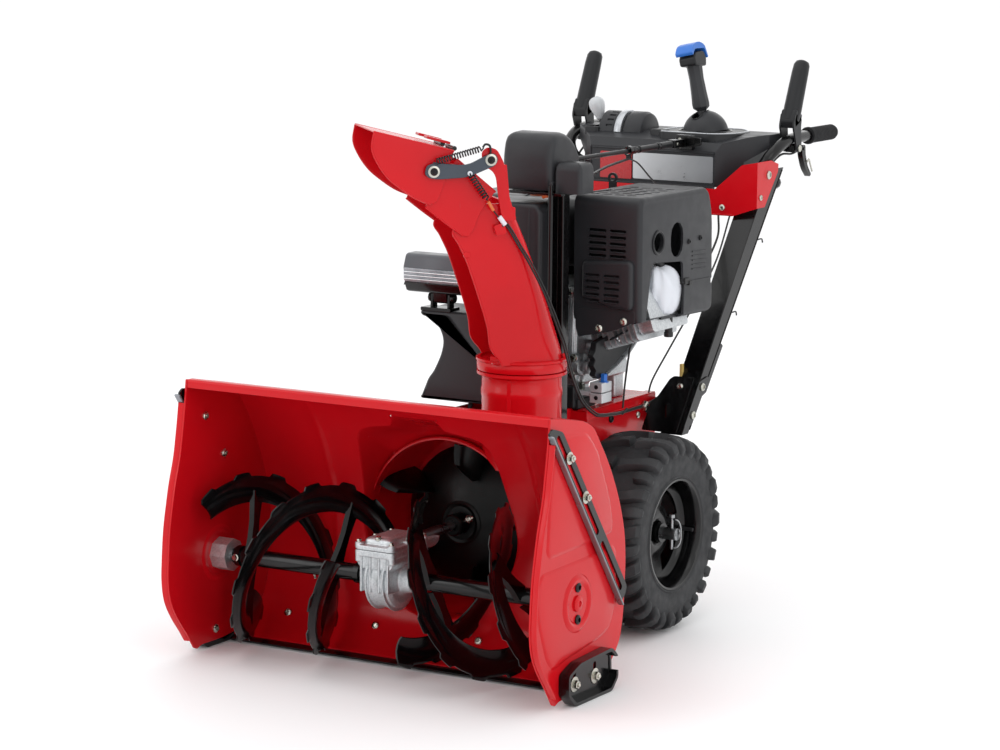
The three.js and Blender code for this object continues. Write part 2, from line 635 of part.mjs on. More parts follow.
/** The plastic engine cover: open below and towards the engine, with its service openings. */
function engineCover() {
  const { inner, outer, wall } = COVER;
  const side = [[606, 612], [600, 870], [612, 896], [905, 896], [918, 876], [926, 700], [908, 668],
    [640, 668], [640, 612]];
  const hollow = [[610, 600], [604, 868], [615, 892], [902, 892], [914, 874], [922, 700], [904, 640],
    [900, 600]];
  const shell = cut(slabX(side, inner, outer), slabX(hollow, inner - 20, outer - wall));
  const chamfer = slabY([[outer - 18, 898], [outer + 2, 898], [outer + 2, 870]], 590, 930);
  const slope = [[inner - 1, 600], [inner - 1, 612], [outer + 1, 652], [outer + 1, 600]];
  const underSlope = slabY(slope, 590, 650);
  const openings = [
    rod("X", 18, 255, 280, 688, 800, 20),
    box(255, 280, 726, 776, 770, 846),
    box(255, 280, 690, 776, 660, 770),
  ];
  return cut(shell, chamfer, underSlope, ...openings);
}

function recoilHousing() {
  const dish = turned([[0.001, 869], [112, 869], [112, 900], [92, 932], [40, 940], [0.001, 940]],
    "Y", -10, CRANK_Z, 32);
  const shroud = box(-112, 92, 869, 892, 540, 730);
  return join(dish, shroud);
}

function fuelTank() {
  const body = slabX([[640, 742], [640, 858], [660, 878], [850, 878], [870, 856], [870, 742]], -186, 108);
  const neck = rod("Z", 30, 877, 899, -60, 760, 24);
  return join(body, neck, box(-110, 90, 690, 830, 720.5, 743));
}

// ---------------------------------------------------------------- handles and console
// The channel leans back; its side flange grows from narrow at the foot to wide at the top.
const LEG = { out: 253, inner: 203, y: 823, foot: 383, top: 905, slope: 0.754, narrow: 29, wide: 62 };

function handleLeg() {
  const { out, inner, y, foot, top, slope, narrow, wide } = LEG;
  const section = [[inner, 0], [out, 0], [out, 1], [out - SHEET, 1], [out - SHEET, SHEET / narrow],
    [inner, SHEET / narrow]];
  const channel = slabZ(section, foot, top).warp((p) => {
    const depth = narrow + ((wide - narrow) * (p[2] - foot)) / (top - foot);
    p[1] = y + slope * (p[2] - foot) + p[1] * depth;
  });
  const rear = FRAME.rear + GAP;
  const gusset = box(inner, inner + SHEET, y + 20, rear + SHEET, foot + 3, FRAME.top - 10);
  const strap = box(60, inner + SHEET, rear, rear + SHEET, foot + 3, FRAME.top - 10);
  return join(channel, gusset, strap);
}

const SUPPORT_Y = 1134;
const WING = 262;
function consoleSupport() {
  const half = [[0, 862], [0, 808], [204, 808], [WING, 828], [WING, 926], [225, 919], [161, 864]];
  const face = slabY([...half, ...half.slice(2).map(([a, b]) => [-a, b]).reverse(), [-1, 808], [-1, 862]],
    SUPPORT_Y, SUPPORT_Y + SHEET);
  const wing = slabX([[SUPPORT_Y, 828], [1172, 828], [1234, 900], [1236, 916], [1200, 926],
    [SUPPORT_Y, 926]], WING - SHEET, WING);
  return join(face, wing, mirrorX(wing));
}

function consoleShell() {
  const { half, front, rear, wall } = CONSOLE;
  const outer = [[front, 866], [front, 942], [front + 12, 960], [front + 60, 972], [front + 90, 976],
    [rear - 30, 976], [rear - 4, 962], [rear, 940], [1262, 884], [1240, 866]];
  const inner = [[front + 4, 860], [front + 4, 940], [front + 15, 956], [front + 61, 968],
    [front + 90, 972], [rear - 32, 972], [rear - 8, 959], [rear - 4, 942], [1256, 886], [1232, 860]];
  const corner = (shift) => slabZ([[CONSOLE.flat, front - 1], [half + 1, front - 1],
    [half + 1, front + CONSOLE.corner]], 850, 1010).translate(-shift, shift, 0);
  const shell = cut(slabX(outer, -half, half), corner(0), mirrorX(corner(0)));
  const core = cut(slabX(inner, -CONSOLE.hollow, CONSOLE.hollow), corner(wall), mirrorX(corner(wall)));
  const legRoom = slabX([[1140, 860], [1140, 880], [1250, 950], [1360, 946], [1360, 860]], 196, 300);
  const speedSlot = box(-189, -163, 1195, 1300, 960, 1010);
  const well = rod("Z", STICK.dome + 6, 960, 1010, STICK.x, STICK.y, 28);
  return cut(shell, core, legRoom, mirrorX(legRoom), speedSlot, well);
}

const BAR_PATH = [[0, 1222, 892], [160, 1222, 892], [222, 1216, 902], [248, 1226, 936],
  [GRIP.x, 1276, 960], [GRIP.x, 1340, GRIP.z], [GRIP.x, 1420, GRIP.z], [GRIP.x, REAR_Y - 6, GRIP.z]];
const FULL_BAR = [...BAR_PATH.slice(1).reverse().map(([x, y, z]) => [-x, y, z]), ...BAR_PATH];

const barTube = (radius) => pipe(FULL_BAR, radius, 8, 40, 0.4);

function handlebar() {
  const lug = leverLug();
  return join(barTube(GRIP.tube), lug, mirrorX(lug));
}

function grip() {
  const sleeve = rod("Y", GRIP.radius, GRIP.start, REAR_Y, GRIP.x, GRIP.z, 20);
  return cut(sleeve, rod("Y", GRIP.tube + 1.2, GRIP.start - 5, REAR_Y - 5, GRIP.x, GRIP.z, 20));
}

// The pivot of a control lever, below the bar, and how far forward of it the handle stands.
const LEVER = { y: 1310, z: 945, forward: 33, lean: -23.6, cheek: 14, foot: 50, top: 188 };

/** A control lever: a handle on two cheeks that straddle the bar down to the pivot. */
function controlLever() {
  const { y, z, forward, cheek, foot, top } = LEVER;
  const handle = join(rod("Z", 16, foot + 8, top - 5, 0, -forward, 20),
    rod("Z", 16, top - 5, top, 0, -forward, 20, 12),
    box(-18, 18, -forward - 17, -forward + 17, foot, foot + 20));
  const outline = [[-forward - 17, foot + 12], [-forward + 17, foot + 12], [-forward + 20, foot - 4],
    [8, 8], [8, -8], [-8, -8], [-forward - 12, foot - 20]];
  const side = slabX(outline, cheek, 18);
  const hole = rod("X", 5, -20, 20, 0, 0, 12);
  const whole = cut(join(handle, side, mirrorX(side)), hole);
  return whole.rotate(LEVER.lean, 0, 0).translate(GRIP.x, y, z);
}

/** The lug and pin under the bar that a control lever turns on, and the lug of its trigger. */
function leverLug() {
  const { y, z } = LEVER;
  const lug = box(GRIP.x - 10, GRIP.x + 10, y - 9, y + 9, z - 9, GRIP.z - 4);
  const pin = rod("X", 4, GRIP.x - 20, GRIP.x + 20, y, z, 10);
  const triggerPin = rod("X", 3, GRIP.x - 9, GRIP.x + 9, TRIGGER.y, TRIGGER.z, 10);
  const cheek = box(GRIP.x - 10, GRIP.x - 6, TRIGGER.y - 8, TRIGGER.y + 8, TRIGGER.z - 8, GRIP.z - 4);
  return join(lug, pin, triggerPin, cheek);
}

/** The small lever under the bar that frees one wheel for steering. */
const TRIGGER = { y: 1356, z: 940 };
function steeringTrigger() {
  const { y, z } = TRIGGER;
  const x = GRIP.x;
  const blade = slabX([[y - 8, z + 8], [y + 8, z + 8], [y + 10, z - 12], [y + 22, z - 40],
    [y + 40, z - 58], [y + 34, z - 64], [y + 10, z - 44], [y - 6, z - 14]], x - 5, x + 7);
  return cut(blade, rod("X", 3.6, x - 20, x + 20, y, z, 12));
}

/** Puts a piece built upright on the stick's own origin where the stick leans. */
const onStick = (made) => made.rotate(0, STICK.lean, 0).translate(STICK.x, STICK.y, STICK.z);

/** A dome that rocks from side to side, slotted for the joystick to swing fore and aft. */
function joystickDome() {
  const r = STICK.dome;
  const arc = (radius) => Array.from({ length: 7 }, (_, i) => {
    const a = (Math.PI / 2) * (i / 6);
    return [Math.max(Math.sin(a) * radius, 0.001), Math.cos(a) * radius];
  });
  const shell = turned([...arc(r), ...arc(r - 4).reverse()], "Z", 0, 0, 24);
  return onStick(cut(shell, box(-14, 14, -38, 16, 20, 70)));
}

/** The joystick: a tapered stalk with a swept head. */
function joystick() {
  const stalk = join(rod("Z", 11, 10, 64, 0, 0, 12), rod("Z", 16, 60, 150, 0, 0, 8, 12),
    slabX([[-22, 150], [20, 148], [23, 164], [17, 179], [4, 176], [-20, 170], [-24, 160]], -20, 20));
  return onStick(stalk);
}

function joystickTrigger() {
  const lid = slabX([[-34, 166], [-22, 183], [21, 183], [28, 166], [32, 170], [24, 192], [2, 200],
    [-26, 194], [-38, 176]], -21, 21);
  return onStick(lid);
}

const SPEED = { x: -160, y: 1245, z: 930, lean: -19 };
function speedLever() {
  const stem = join(rod("Z", 5, 0, 74, 0, 0, 10), rod("Z", 8, 72, 84, 0, 0, 12, 18),
    rod("Z", 18, 84, 104, 0, 0, 12, 17), rod("Z", 17, 104, 112, 0, 0, 12, 9));
  return stem.rotate(0, SPEED.lean, 0).translate(SPEED.x, SPEED.y, SPEED.z);
}

// ---------------------------------------------------------------- cable and control rod
const onSide = ([u, v, z]) => {
  const a = (CHUTE.facing * Math.PI) / 180;
  return [CHUTE.x + u * Math.cos(a) - v * Math.sin(a), CHUTE.y + u * Math.sin(a) + v * Math.cos(a), z];
};

// From the tab on the chute, down its back edge, and round to the clip on the frame.
const CABLE_PATH = [
  ...[[62, 87, 834], [44, 88, 800], [18, 88, 740], [-14, 88, 680], [-40, 90, 630]].map(onSide),
  [238, 392, 560], [232, 430, 500], [206, 520, 448], [186, 610, 434], [168, 700, 444], [160, 780, 456],
];

const deflectorCable = () => pipe(CABLE_PATH, 3.2, 6, 44);

/** The long rod from the joystick to the chute drive, with a yoke at each end. */
function controlRod() {
  const [x, z] = [82, 960];
  return join(rod("Y", 6.5, 606, 1140, x, z, 12), rod("Y", 11, 850, 890, x, z, 6),
    box(x - 9, x + 9, 1085, 1132, z - 9, z + 9));
}

// ---------------------------------------------------------------- the machine
function buildHousing() {
  add("auger_housing", augerHousing(), RED);
  add("impeller_drum", impellerDrum(), RED);
  addPair("side_plate", sidePlate(), RED);
  add("scraper_blade", scraperBlade(), BLACK_PAINT);
  addPair("skid", skid(), BLACK_PAINT);
  addPair("auger_bearing", augerBearing(), STEEL);
  addPair("drift_cutter", driftCutter(), BLACK_PAINT);
}

function buildAugers() {
  add("auger_left", auger(49, 375, 110, -1), BLACK_PAINT);
  add("auger_right", auger(-375, -49, 49, 1), BLACK_PAINT);
  add("auger_shaft", rod("X", AUGER.shaft, -409, 409, AUGER.y, AUGER.z, 20), STEEL);
  add("worm_wheel", wormWheel(), STEEL);
  const upperHalf = box(-200, 200, 0, 300, DRUM.z, 400);
  add("gearbox_case", gearboxBody().subtract(upperHalf), ALUMINIUM);
  add("gearbox_cover", gearboxBody().intersect(upperHalf.translate(0, 0, GAP)), ALUMINIUM);
  add("impeller", impeller(), BLACK_PAINT);
  add("impeller_shaft", impellerShaft(), STEEL);
  add("impeller_pulley", pulley(PULLEY.impeller, DRUM.z, 10 + GAP), STEEL);
  add("auger_belt", augerBelt(), RUBBER);
}

function buildChute() {
  add("chute", onChute(chuteBody()), RED);
  add("lower_deflector", onChute(lowerDeflector()), RED);
  add("hood", onChute(hood()), RED);
  add("link_arm", onChute(linkArm()), STEEL);
  add("chute_drive_shaft", chuteDriveShaft(), STEEL);
  add("chute_column", chuteColumn(), BLACK_PAINT);
  add("gear_cap", gearCap(), PLASTIC);
  add("belt_cover", beltCover(), PLASTIC);
  add("headlamp", headlamp(), LAMP);
  add("deflector_cable", deflectorCable(), RUBBER);
  add("control_rod", controlRod(), STEEL);
}

function buildTraction() {
  add("traction_frame", tractionFrame(), RED);
  addPair("tyre", tyre(), RUBBER);
  addPair("rim", rimSolid(), BLACK_PAINT);
  addPair("axle", halfAxle(), STEEL);
}

function buildEngine() {
  add("crankcase", crankcase(), ALUMINIUM);
  add("cylinder_block", cylinderBlock(), ALUMINIUM);
  add("crankshaft", crankshaft(), STEEL);
  add("engine_cover", engineCover(), PLASTIC);
  add("recoil_housing", recoilHousing(), PLASTIC);
  add("fuel_tank", fuelTank(), PLASTIC);
}

function buildHandles() {
  const barSpace = barTube(GRIP.tube + 1.5);
  addPair("handle_leg", handleLeg().subtract(barSpace), BLACK_PAINT);
  add("console_support", consoleSupport().subtract(barSpace), RED);
  add("console", consoleShell().subtract(barSpace), PLASTIC);
  add("handlebar", handlebar(), BLACK_PAINT);
  addPair("grip", grip(), RUBBER);
  addPair("control_lever", controlLever(), PLASTIC);
  addPair("steering_trigger", steeringTrigger(), BLACK_PAINT);
  add("joystick_dome", joystickDome(), PLASTIC);
  add("joystick", joystick(), PLASTIC);
  add("joystick_trigger", joystickTrigger(), BLUE);
  add("speed_lever", speedLever(), KNOB);
}

buildHousing();
buildAugers();
buildChute();
buildTraction();
buildEngine();
buildHandles();

const snowblower = new THREE.Group();
snowblower.add(machine);
export default snowblower;
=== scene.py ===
"""Two stage snowblower: every visible surface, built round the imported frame.

Shapes are worked out in the machine frame, in millimetres: X to the side, Y rearwards from the
housing's top front lip, Z up from the ground. piece() moves them into the row frame, in metres.
"""
import json
import math

import bmesh
import bpy
from mathutils import Matrix, Vector
from mathutils.geometry import tessellate_polygon

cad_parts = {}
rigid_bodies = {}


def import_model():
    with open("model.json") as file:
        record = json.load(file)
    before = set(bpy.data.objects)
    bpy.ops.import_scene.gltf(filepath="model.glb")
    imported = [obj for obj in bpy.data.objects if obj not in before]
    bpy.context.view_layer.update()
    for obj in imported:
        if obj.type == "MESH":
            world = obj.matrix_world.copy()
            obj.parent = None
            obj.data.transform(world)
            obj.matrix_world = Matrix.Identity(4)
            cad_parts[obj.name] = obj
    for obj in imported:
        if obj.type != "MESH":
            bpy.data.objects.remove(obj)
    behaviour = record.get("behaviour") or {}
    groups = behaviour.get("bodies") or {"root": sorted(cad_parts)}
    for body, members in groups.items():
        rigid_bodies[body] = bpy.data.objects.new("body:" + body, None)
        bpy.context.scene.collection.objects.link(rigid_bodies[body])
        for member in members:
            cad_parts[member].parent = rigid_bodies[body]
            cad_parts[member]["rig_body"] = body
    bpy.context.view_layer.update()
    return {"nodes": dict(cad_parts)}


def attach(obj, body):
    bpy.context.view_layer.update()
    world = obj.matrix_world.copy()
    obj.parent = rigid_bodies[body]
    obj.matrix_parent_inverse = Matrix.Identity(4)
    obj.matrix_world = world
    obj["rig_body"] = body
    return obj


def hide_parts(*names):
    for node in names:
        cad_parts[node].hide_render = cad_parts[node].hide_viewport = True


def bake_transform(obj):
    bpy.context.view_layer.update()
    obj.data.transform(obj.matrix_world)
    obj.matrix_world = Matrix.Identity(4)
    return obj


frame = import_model()

# ---------------------------------------------------------------- driving dimensions
MM = 0.001
ORIGIN_Y = 723.0  # the row frame's origin stands this far behind the housing's top front lip
SHEET = 3.0
PLATE_X = 411.0  # outer face of a side plate
AUGER_Y, AUGER_Z, AUGER_R = 102.0, 188.0, 168.0
DRUM_Z, DRUM_R = 250.0, 180.0
CHUTE_X, CHUTE_Y, CHUTE_TURN = 132.0, 370.0, 225.0
WHEEL_Y, WHEEL_Z, WHEEL_R = 696.0, 203.0, 203.0
WHEEL_IN, WHEEL_OUT = 152.0, 317.0
GRIP_X, GRIP_Z = 257.0, 966.0
SUPPORT_Y = 1134.0  # front face of the sheet that carries the console
CRANK_Z = 600.0
CAMERA = {"azimuth": 30.6, "elevation": 9.15, "distance": 6.0, "roll": 0.535, "lens": 117.91,
          "target": (0.315, -0.7467, 0.629)}


# ---------------------------------------------------------------- shapes
class Shape:
    """Points in machine millimetres and the faces between them."""

    def __init__(self, points=(), faces=()):
        self.points = [Vector(p) for p in points]
        self.faces = [tuple(f) for f in faces]

    def __add__(self, other):
        shift = len(self.points)
        moved = [tuple(i + shift for i in f) for f in other.faces]
        return Shape(self.points + other.points, self.faces + moved)

    def moved(self, matrix):
        return Shape([matrix @ p for p in self.points], self.faces)

    def shifted(self, x=0.0, y=0.0, z=0.0):
        return self.moved(Matrix.Translation((x, y, z)))

    def turned(self, degrees, axis, about=(0, 0, 0)):
        there = Matrix.Translation(about)
        return self.moved(there @ Matrix.Rotation(math.radians(degrees), 4, axis) @ there.inverted())

    def mirrored(self):
        return self.moved(Matrix.Scale(-1, 4, (1, 0, 0)))


def joined(shapes):
    """One shape from several."""
    total = Shape()
    for shape in shapes:
        total = total + shape
    return total


def curve(points, steps=8):
    """A smooth line through points, with so many steps between two neighbours."""
    p = [Vector(q) for q in points]
    line = []
    for i in range(len(p) - 1):
        b, c = p[i], p[i + 1]
        a = p[i - 1] if i else b * 2 - c
        d = p[i + 2] if i + 2 < len(p) else c * 2 - b
        for k in range(steps):
            t = k / steps
            line.append(0.5 * (2 * b + (c - a) * t + (2 * a - 5 * b + 4 * c - d) * t * t
                               + (3 * b - a - 3 * c + d) * t ** 3))
    return line + [p[-1]]


def rounded(outline, radius, steps=5):
    """A closed 2-D outline with its corners rounded; radius is one number or one for each corner."""
    p = [Vector(q) for q in outline]
    radii = radius if isinstance(radius, (list, tuple)) else [radius] * len(p)
    result = []
    for i, corner in enumerate(p):
        before, after = p[i - 1] - corner, p[(i + 1) % len(p)] - corner
        reach = min(radii[i], before.length * 0.48, after.length * 0.48)
        start = corner + before.normalized() * reach
        end = corner + after.normalized() * reach
        if reach < 0.05:
            result.append(corner)
            continue
        for k in range(steps + 1):
            t = k / steps
            result.append(start * (1 - t) ** 2 + corner * 2 * t * (1 - t) + end * t * t)
    return result


def rounded_box(low_a, high_a, low_b, high_b, radius):
    """A rectangle with rounded corners, as a closed 2-D outline."""
    return rounded([(low_a, low_b), (high_a, low_b), (high_a, high_b), (low_a, high_b)], radius)


def area(outline):
    """Signed area of a 2-D outline: positive when it runs anticlockwise."""
    p = [Vector(q) for q in outline]
    return sum(a.x * b.y - b.x * a.y for a, b in zip(p, p[1:] + p[:1])) / 2


def grown(outline, distance):
    """A closed 2-D outline moved outwards by a distance, with mitred corners."""
    p = [Vector(q) for q in outline]
    side = 1 if area(p) > 0 else -1
    result = []
    for i, corner in enumerate(p):
        d1 = (corner - p[i - 1]).normalized()
        d2 = (p[(i + 1) % len(p)] - corner).normalized()
        n1, n2 = Vector((d1.y, -d1.x)), Vector((d2.y, -d2.x))
        middle = (n1 + n2).normalized()
        result.append(corner + middle * side * distance / max(0.35, middle.dot(n1)))
    return result


def arc(centre, radius, start, end, steps):
    """Points on an arc, by degrees."""
    return [(centre[0] + radius * math.cos(math.radians(start + (end - start) * i / steps)),
             centre[1] + radius * math.sin(math.radians(start + (end - start) * i / steps)))
            for i in range(steps + 1)]


def circle(centre, radius, sides=32):
    """A closed circle of points."""
    return arc(centre, radius, 0, 360, sides)[:-1]


def slot(centre, length, width, angle=0.0, sides=6):
    """A long hole with round ends; its length runs along the angle."""
    half = max(0.01, (length - width) / 2)
    points = arc((half, 0), width / 2, -90, 90, sides) + arc((-half, 0), width / 2, 90, 270, sides)
    c, s = math.cos(math.radians(angle)), math.sin(math.radians(angle))
    return [(centre[0] + x * c - y * s, centre[1] + x * s + y * c) for x, y in points]


PLANES = {"YZ": lambda a, b, h: (h, a, b), "XZ": lambda a, b, h: (a, h, b), "XY": lambda a, b, h: (a, b, h)}


def prism(outline, low, high, plane="YZ", holes=()):
    """A plate or block: a 2-D outline, with any holes, between two heights across its plane."""
    put = PLANES[plane]
    loops = [[Vector(p) for p in outline]] + [[Vector(p) for p in hole] for hole in holes]
    flat = [p for loop in loops for p in loop]
    count = len(flat)
    points = [put(p.x, p.y, low) for p in flat] + [put(p.x, p.y, high) for p in flat]
    if holes:
        caps = tessellate_polygon([[(p.x, p.y, 0) for p in loop] for loop in loops])
    else:
        caps = [tuple(range(count))]
    faces = [tuple(f) for f in caps] + [tuple(i + count for i in reversed(f)) for f in caps]
    start = 0
    for loop in loops:
        for i in range(len(loop)):
            a, b = start + i, start + (i + 1) % len(loop)
            faces.append((a, b, b + count, a + count))
        start += len(loop)
    return Shape(points, faces)


def block(x0, x1, y0, y1, z0, z1):
    """A box between two corners, which piece() bevels."""
    return prism([(x0, y0), (x1, y0), (x1, y1), (x0, y1)], z0, z1, "XY")


def loft(rings, caps=True):
    """A skin over closed rings of the same count of points."""
    count = len(rings[0])
    points = [p for ring in rings for p in ring]
    faces = []
    for r in range(len(rings) - 1):
        for k in range(count):
            a, b = r * count + k, r * count + (k + 1) % count
            faces.append((a, b, b + count, a + count))
    if caps:
        faces += [tuple(range(count)), tuple(range(len(points) - 1, len(points) - count - 1, -1))]
    return Shape(points, faces)


def surface(rows):
    """An open sheet over rows of points; piece() gives it thickness."""
    count = len(rows[0])
    points = [p for r in rows for p in r]
    faces = [(r * count + k, r * count + k + 1, (r + 1) * count + k + 1, (r + 1) * count + k)
             for r in range(len(rows) - 1) for k in range(count - 1)]
    return Shape(points, faces)


def lathe(profile, axis="Z", centre=(0, 0), sides=48):
    """A closed profile of (radius, height) turned round an axis through (a, b)."""
    spin = []
    for i in range(sides):
        c, s = math.cos(2 * math.pi * i / sides), math.sin(2 * math.pi * i / sides)
        ring = []
        for r, h in profile:
            a, b = centre[0] + r * c, centre[1] + r * s
            ring.append({"Z": (a, b, h), "X": (h, a, b), "Y": (a, h, b)}[axis])
        spin.append(ring)
    return loft(spin + [spin[0]], caps=False)


def tube(path, radius, sides=12, wide=1.0):
    """A round bar along a line of points; radius is a number or one for each point."""
    line = [Vector(p) for p in path]
    radii = radius if isinstance(radius, (list, tuple)) else [radius] * len(line)
    tangents = []
    for i in range(len(line)):
        tangents.append((line[min(i + 1, len(line) - 1)] - line[max(i - 1, 0)]).normalized())
    normal = tangents[0].orthogonal().normalized()
    rings = []
    for i, (p, t) in enumerate(zip(line, tangents)):
        if i:
            normal = tangents[i - 1].rotation_difference(t) @ normal
        across = t.cross(normal).normalized()
        rings.append([p + (normal * math.cos(a) * wide + across * math.sin(a)) * radii[i]
                      for a in (2 * math.pi * k / sides for k in range(sides))])
    return loft(rings)


def facing(at, along):
    """The move that takes a shape built up +Z from the origin to a place, looking along a direction."""
    turn = Vector((0, 0, 1)).rotation_difference(Vector(along))
    return Matrix.Translation(at) @ turn.to_matrix().to_4x4()


def rod(start, end, radius, sides=24, edge=0.0):
    """A straight round bar, with its end edges broken by a small chamfer."""
    a, b = Vector(start), Vector(end)
    length = (b - a).length
    edge = edge or min(radius * 0.15, 1.0)
    profile = [(0.01, 0), (radius - edge, 0), (radius, edge), (radius, length - edge),
               (radius - edge, length), (0.01, length)]
    return lathe(profile, "Z", (0, 0), sides).moved(facing(a, b - a))


def spring(start, end, radius, wire, turns, tail):
    """A close coil between two points, with a tail of a given length at each end."""
    a, b = Vector(start), Vector(end)
    move = facing(a, b - a)
    length = (b - a).length
    steps = int(turns * 12)
    path = [Vector((0, 0, 0))]
    for i in range(steps + 1):
        t = i / steps
        angle = 2 * math.pi * turns * t
        path.append(Vector((radius * math.cos(angle), radius * math.sin(angle),
                            tail + (length - 2 * tail) * t)))
    path.append(Vector((0, 0, length)))
    return tube([move @ p for p in path], wire, 6)


def bolt(at, along, size=13.0, height=7.0, flange=1.45, stud=0.0):
    """A hexagon flange bolt, or a nut with its stud showing when stud is above zero."""
    half = size / 2
    corners = circle((0, 0), half * 1.15, 6)
    top = [(x * 0.86, y * 0.86) for x, y in corners]
    head = loft([[(x, y, 1.4) for x, y in corners], [(x, y, height - 1.2) for x, y in corners],
                 [(x, y, height) for x, y in top]])
    r = half * flange * 1.1
    washer = lathe([(0.01, -0.6), (r, -0.6), (r, 0.9), (half * 1.1, 2.0), (0.01, 2.0)], sides=28)
    parts = [head, washer]
    if stud:
        parts.append(lathe([(0.01, height - 1), (half * 0.52, height - 1), (half * 0.52, height + stud - 1),
                            (half * 0.4, height + stud), (0.01, height + stud)], sides=16))
    return joined(parts).moved(facing(at, along))


def screw(at, along, radius=4.5, height=2.6):
    """A round domed screw head with a hexagon socket."""
    profile = [(0.01, -0.5), (radius, -0.5), (radius, height * 0.45), (radius * 0.8, height * 0.85),
               (radius * 0.5, height), (radius * 0.42, height * 0.35), (0.01, height * 0.35)]
    return lathe(profile, sides=20).moved(facing(at, along))


def as_is(shape):
    """A left part stays where it is; a right part is its mirror image."""
    return shape


SIDES = (("left", as_is), ("right", Shape.mirrored))


# ---------------------------------------------------------------- pieces
def mesh_from(name, shape, tidy):
    """A Blender mesh in the row frame; tidy melts away the edges inside flat faces."""
    mesh = bpy.data.meshes.new(name)
    bm = bmesh.new()
    points = [bm.verts.new(Vector((p.x, p.y - ORIGIN_Y, p.z)) * MM) for p in shape.points]
    for face in shape.faces:
        corners = [points[i] for i in dict.fromkeys(face)]
        if len(corners) > 2 and not bm.faces.get(corners):
            bm.faces.new(corners)
    bmesh.ops.remove_doubles(bm, verts=bm.verts, dist=2e-6)
    if tidy:
        bmesh.ops.dissolve_limit(bm, angle_limit=math.radians(0.4), verts=bm.verts, edges=bm.edges)
    bmesh.ops.recalc_face_normals(bm, faces=bm.faces)
    bm.to_mesh(mesh)
    bm.free()
    return mesh


def flatten(obj):
    """Replaces an object's mesh by what its modifiers make of it."""
    graph = bpy.context.evaluated_depsgraph_get()
    made = bpy.data.meshes.new_from_object(obj.evaluated_get(graph))
    obj.modifiers.clear()
    obj.data = made


def cut_out(obj, shape):
    """Takes a shape away from an object."""
    cutter = bpy.data.objects.new("cutter", mesh_from("cutter", shape, tidy=False))
    bpy.context.scene.collection.objects.link(cutter)
    step = obj.modifiers.new("boolean", "BOOLEAN")
    step.operation = "DIFFERENCE"
    step.solver = "EXACT"
    step.use_self = True
    step.object = cutter
    flatten(obj)
    bpy.data.objects.remove(cutter)


def piece(name, shape, look, body, bevel=0.0, segments=2, thick=0.0, cuts=None, remesh=0.0,
          ease=0, sub=0, sharp=35.0, replaces=()):
    """A named piece of the object: its mesh, its material and the body that it rides on."""
    obj = bpy.data.objects.new(name, mesh_from(name, shape, tidy=bevel > 0))
    bpy.context.scene.collection.objects.link(obj)
    if thick:
        step = obj.modifiers.new("thickness", "SOLIDIFY")
        step.thickness = thick * MM
        step.offset = 0.0
        flatten(obj)
    for cutter in cuts if isinstance(cuts, list) else [cuts] if cuts else []:
        cut_out(obj, cutter)
    if remesh:
        step = obj.modifiers.new("cast", "REMESH")
        step.mode = "VOXEL"
        step.voxel_size = remesh * MM
        flatten(obj)
    if ease:
        step = obj.modifiers.new("ease", "SMOOTH")
        step.factor = 0.5
        step.iterations = ease
        flatten(obj)
    if sub:
        step = obj.modifiers.new("subdivision", "SUBSURF")
        step.levels = sub
        step.render_levels = sub
        flatten(obj)
    for polygon in obj.data.polygons:
        polygon.use_smooth = True
    if bevel:
        step = obj.modifiers.new("bevel", "BEVEL")
        step.width = bevel * MM
        step.segments = segments
        step.limit_method = "ANGLE"
        step.angle_limit = math.radians(30)
        step.harden_normals = True
        step.use_clamp_overlap = True
    elif not remesh:
        obj.data.set_sharp_from_angle(angle=math.radians(sharp))
    obj.data.materials.clear()
    obj.data.materials.append(look["material"])
    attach(obj, body)
    if replaces:
        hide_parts(*replaces)
    return obj


def keep(node, look, bevel=0.6):
    """A CAD node whose shape is right: a better material and softened edges."""
    obj = frame["nodes"][node]
    obj.data.materials.clear()
    obj.data.materials.append(look["material"])
    if bevel:
        step = obj.modifiers.new("bevel", "BEVEL")
        step.width = bevel * MM
        step.segments = 2
        step.limit_method = "ANGLE"
        step.angle_limit = math.radians(32)
        step.harden_normals = True
    for polygon in obj.data.polygons:
        polygon.use_smooth = bevel > 0


# ---------------------------------------------------------------- materials
def linear(code):
    """A linear colour from an sRGB hexadecimal code."""
    parts = [int(code[i:i + 2], 16) / 255 for i in (0, 2, 4)]
    return tuple(c / 12.92 if c <= 0.04045 else ((c + 0.055) / 1.055) ** 2.4 for c in parts) + (1.0,)


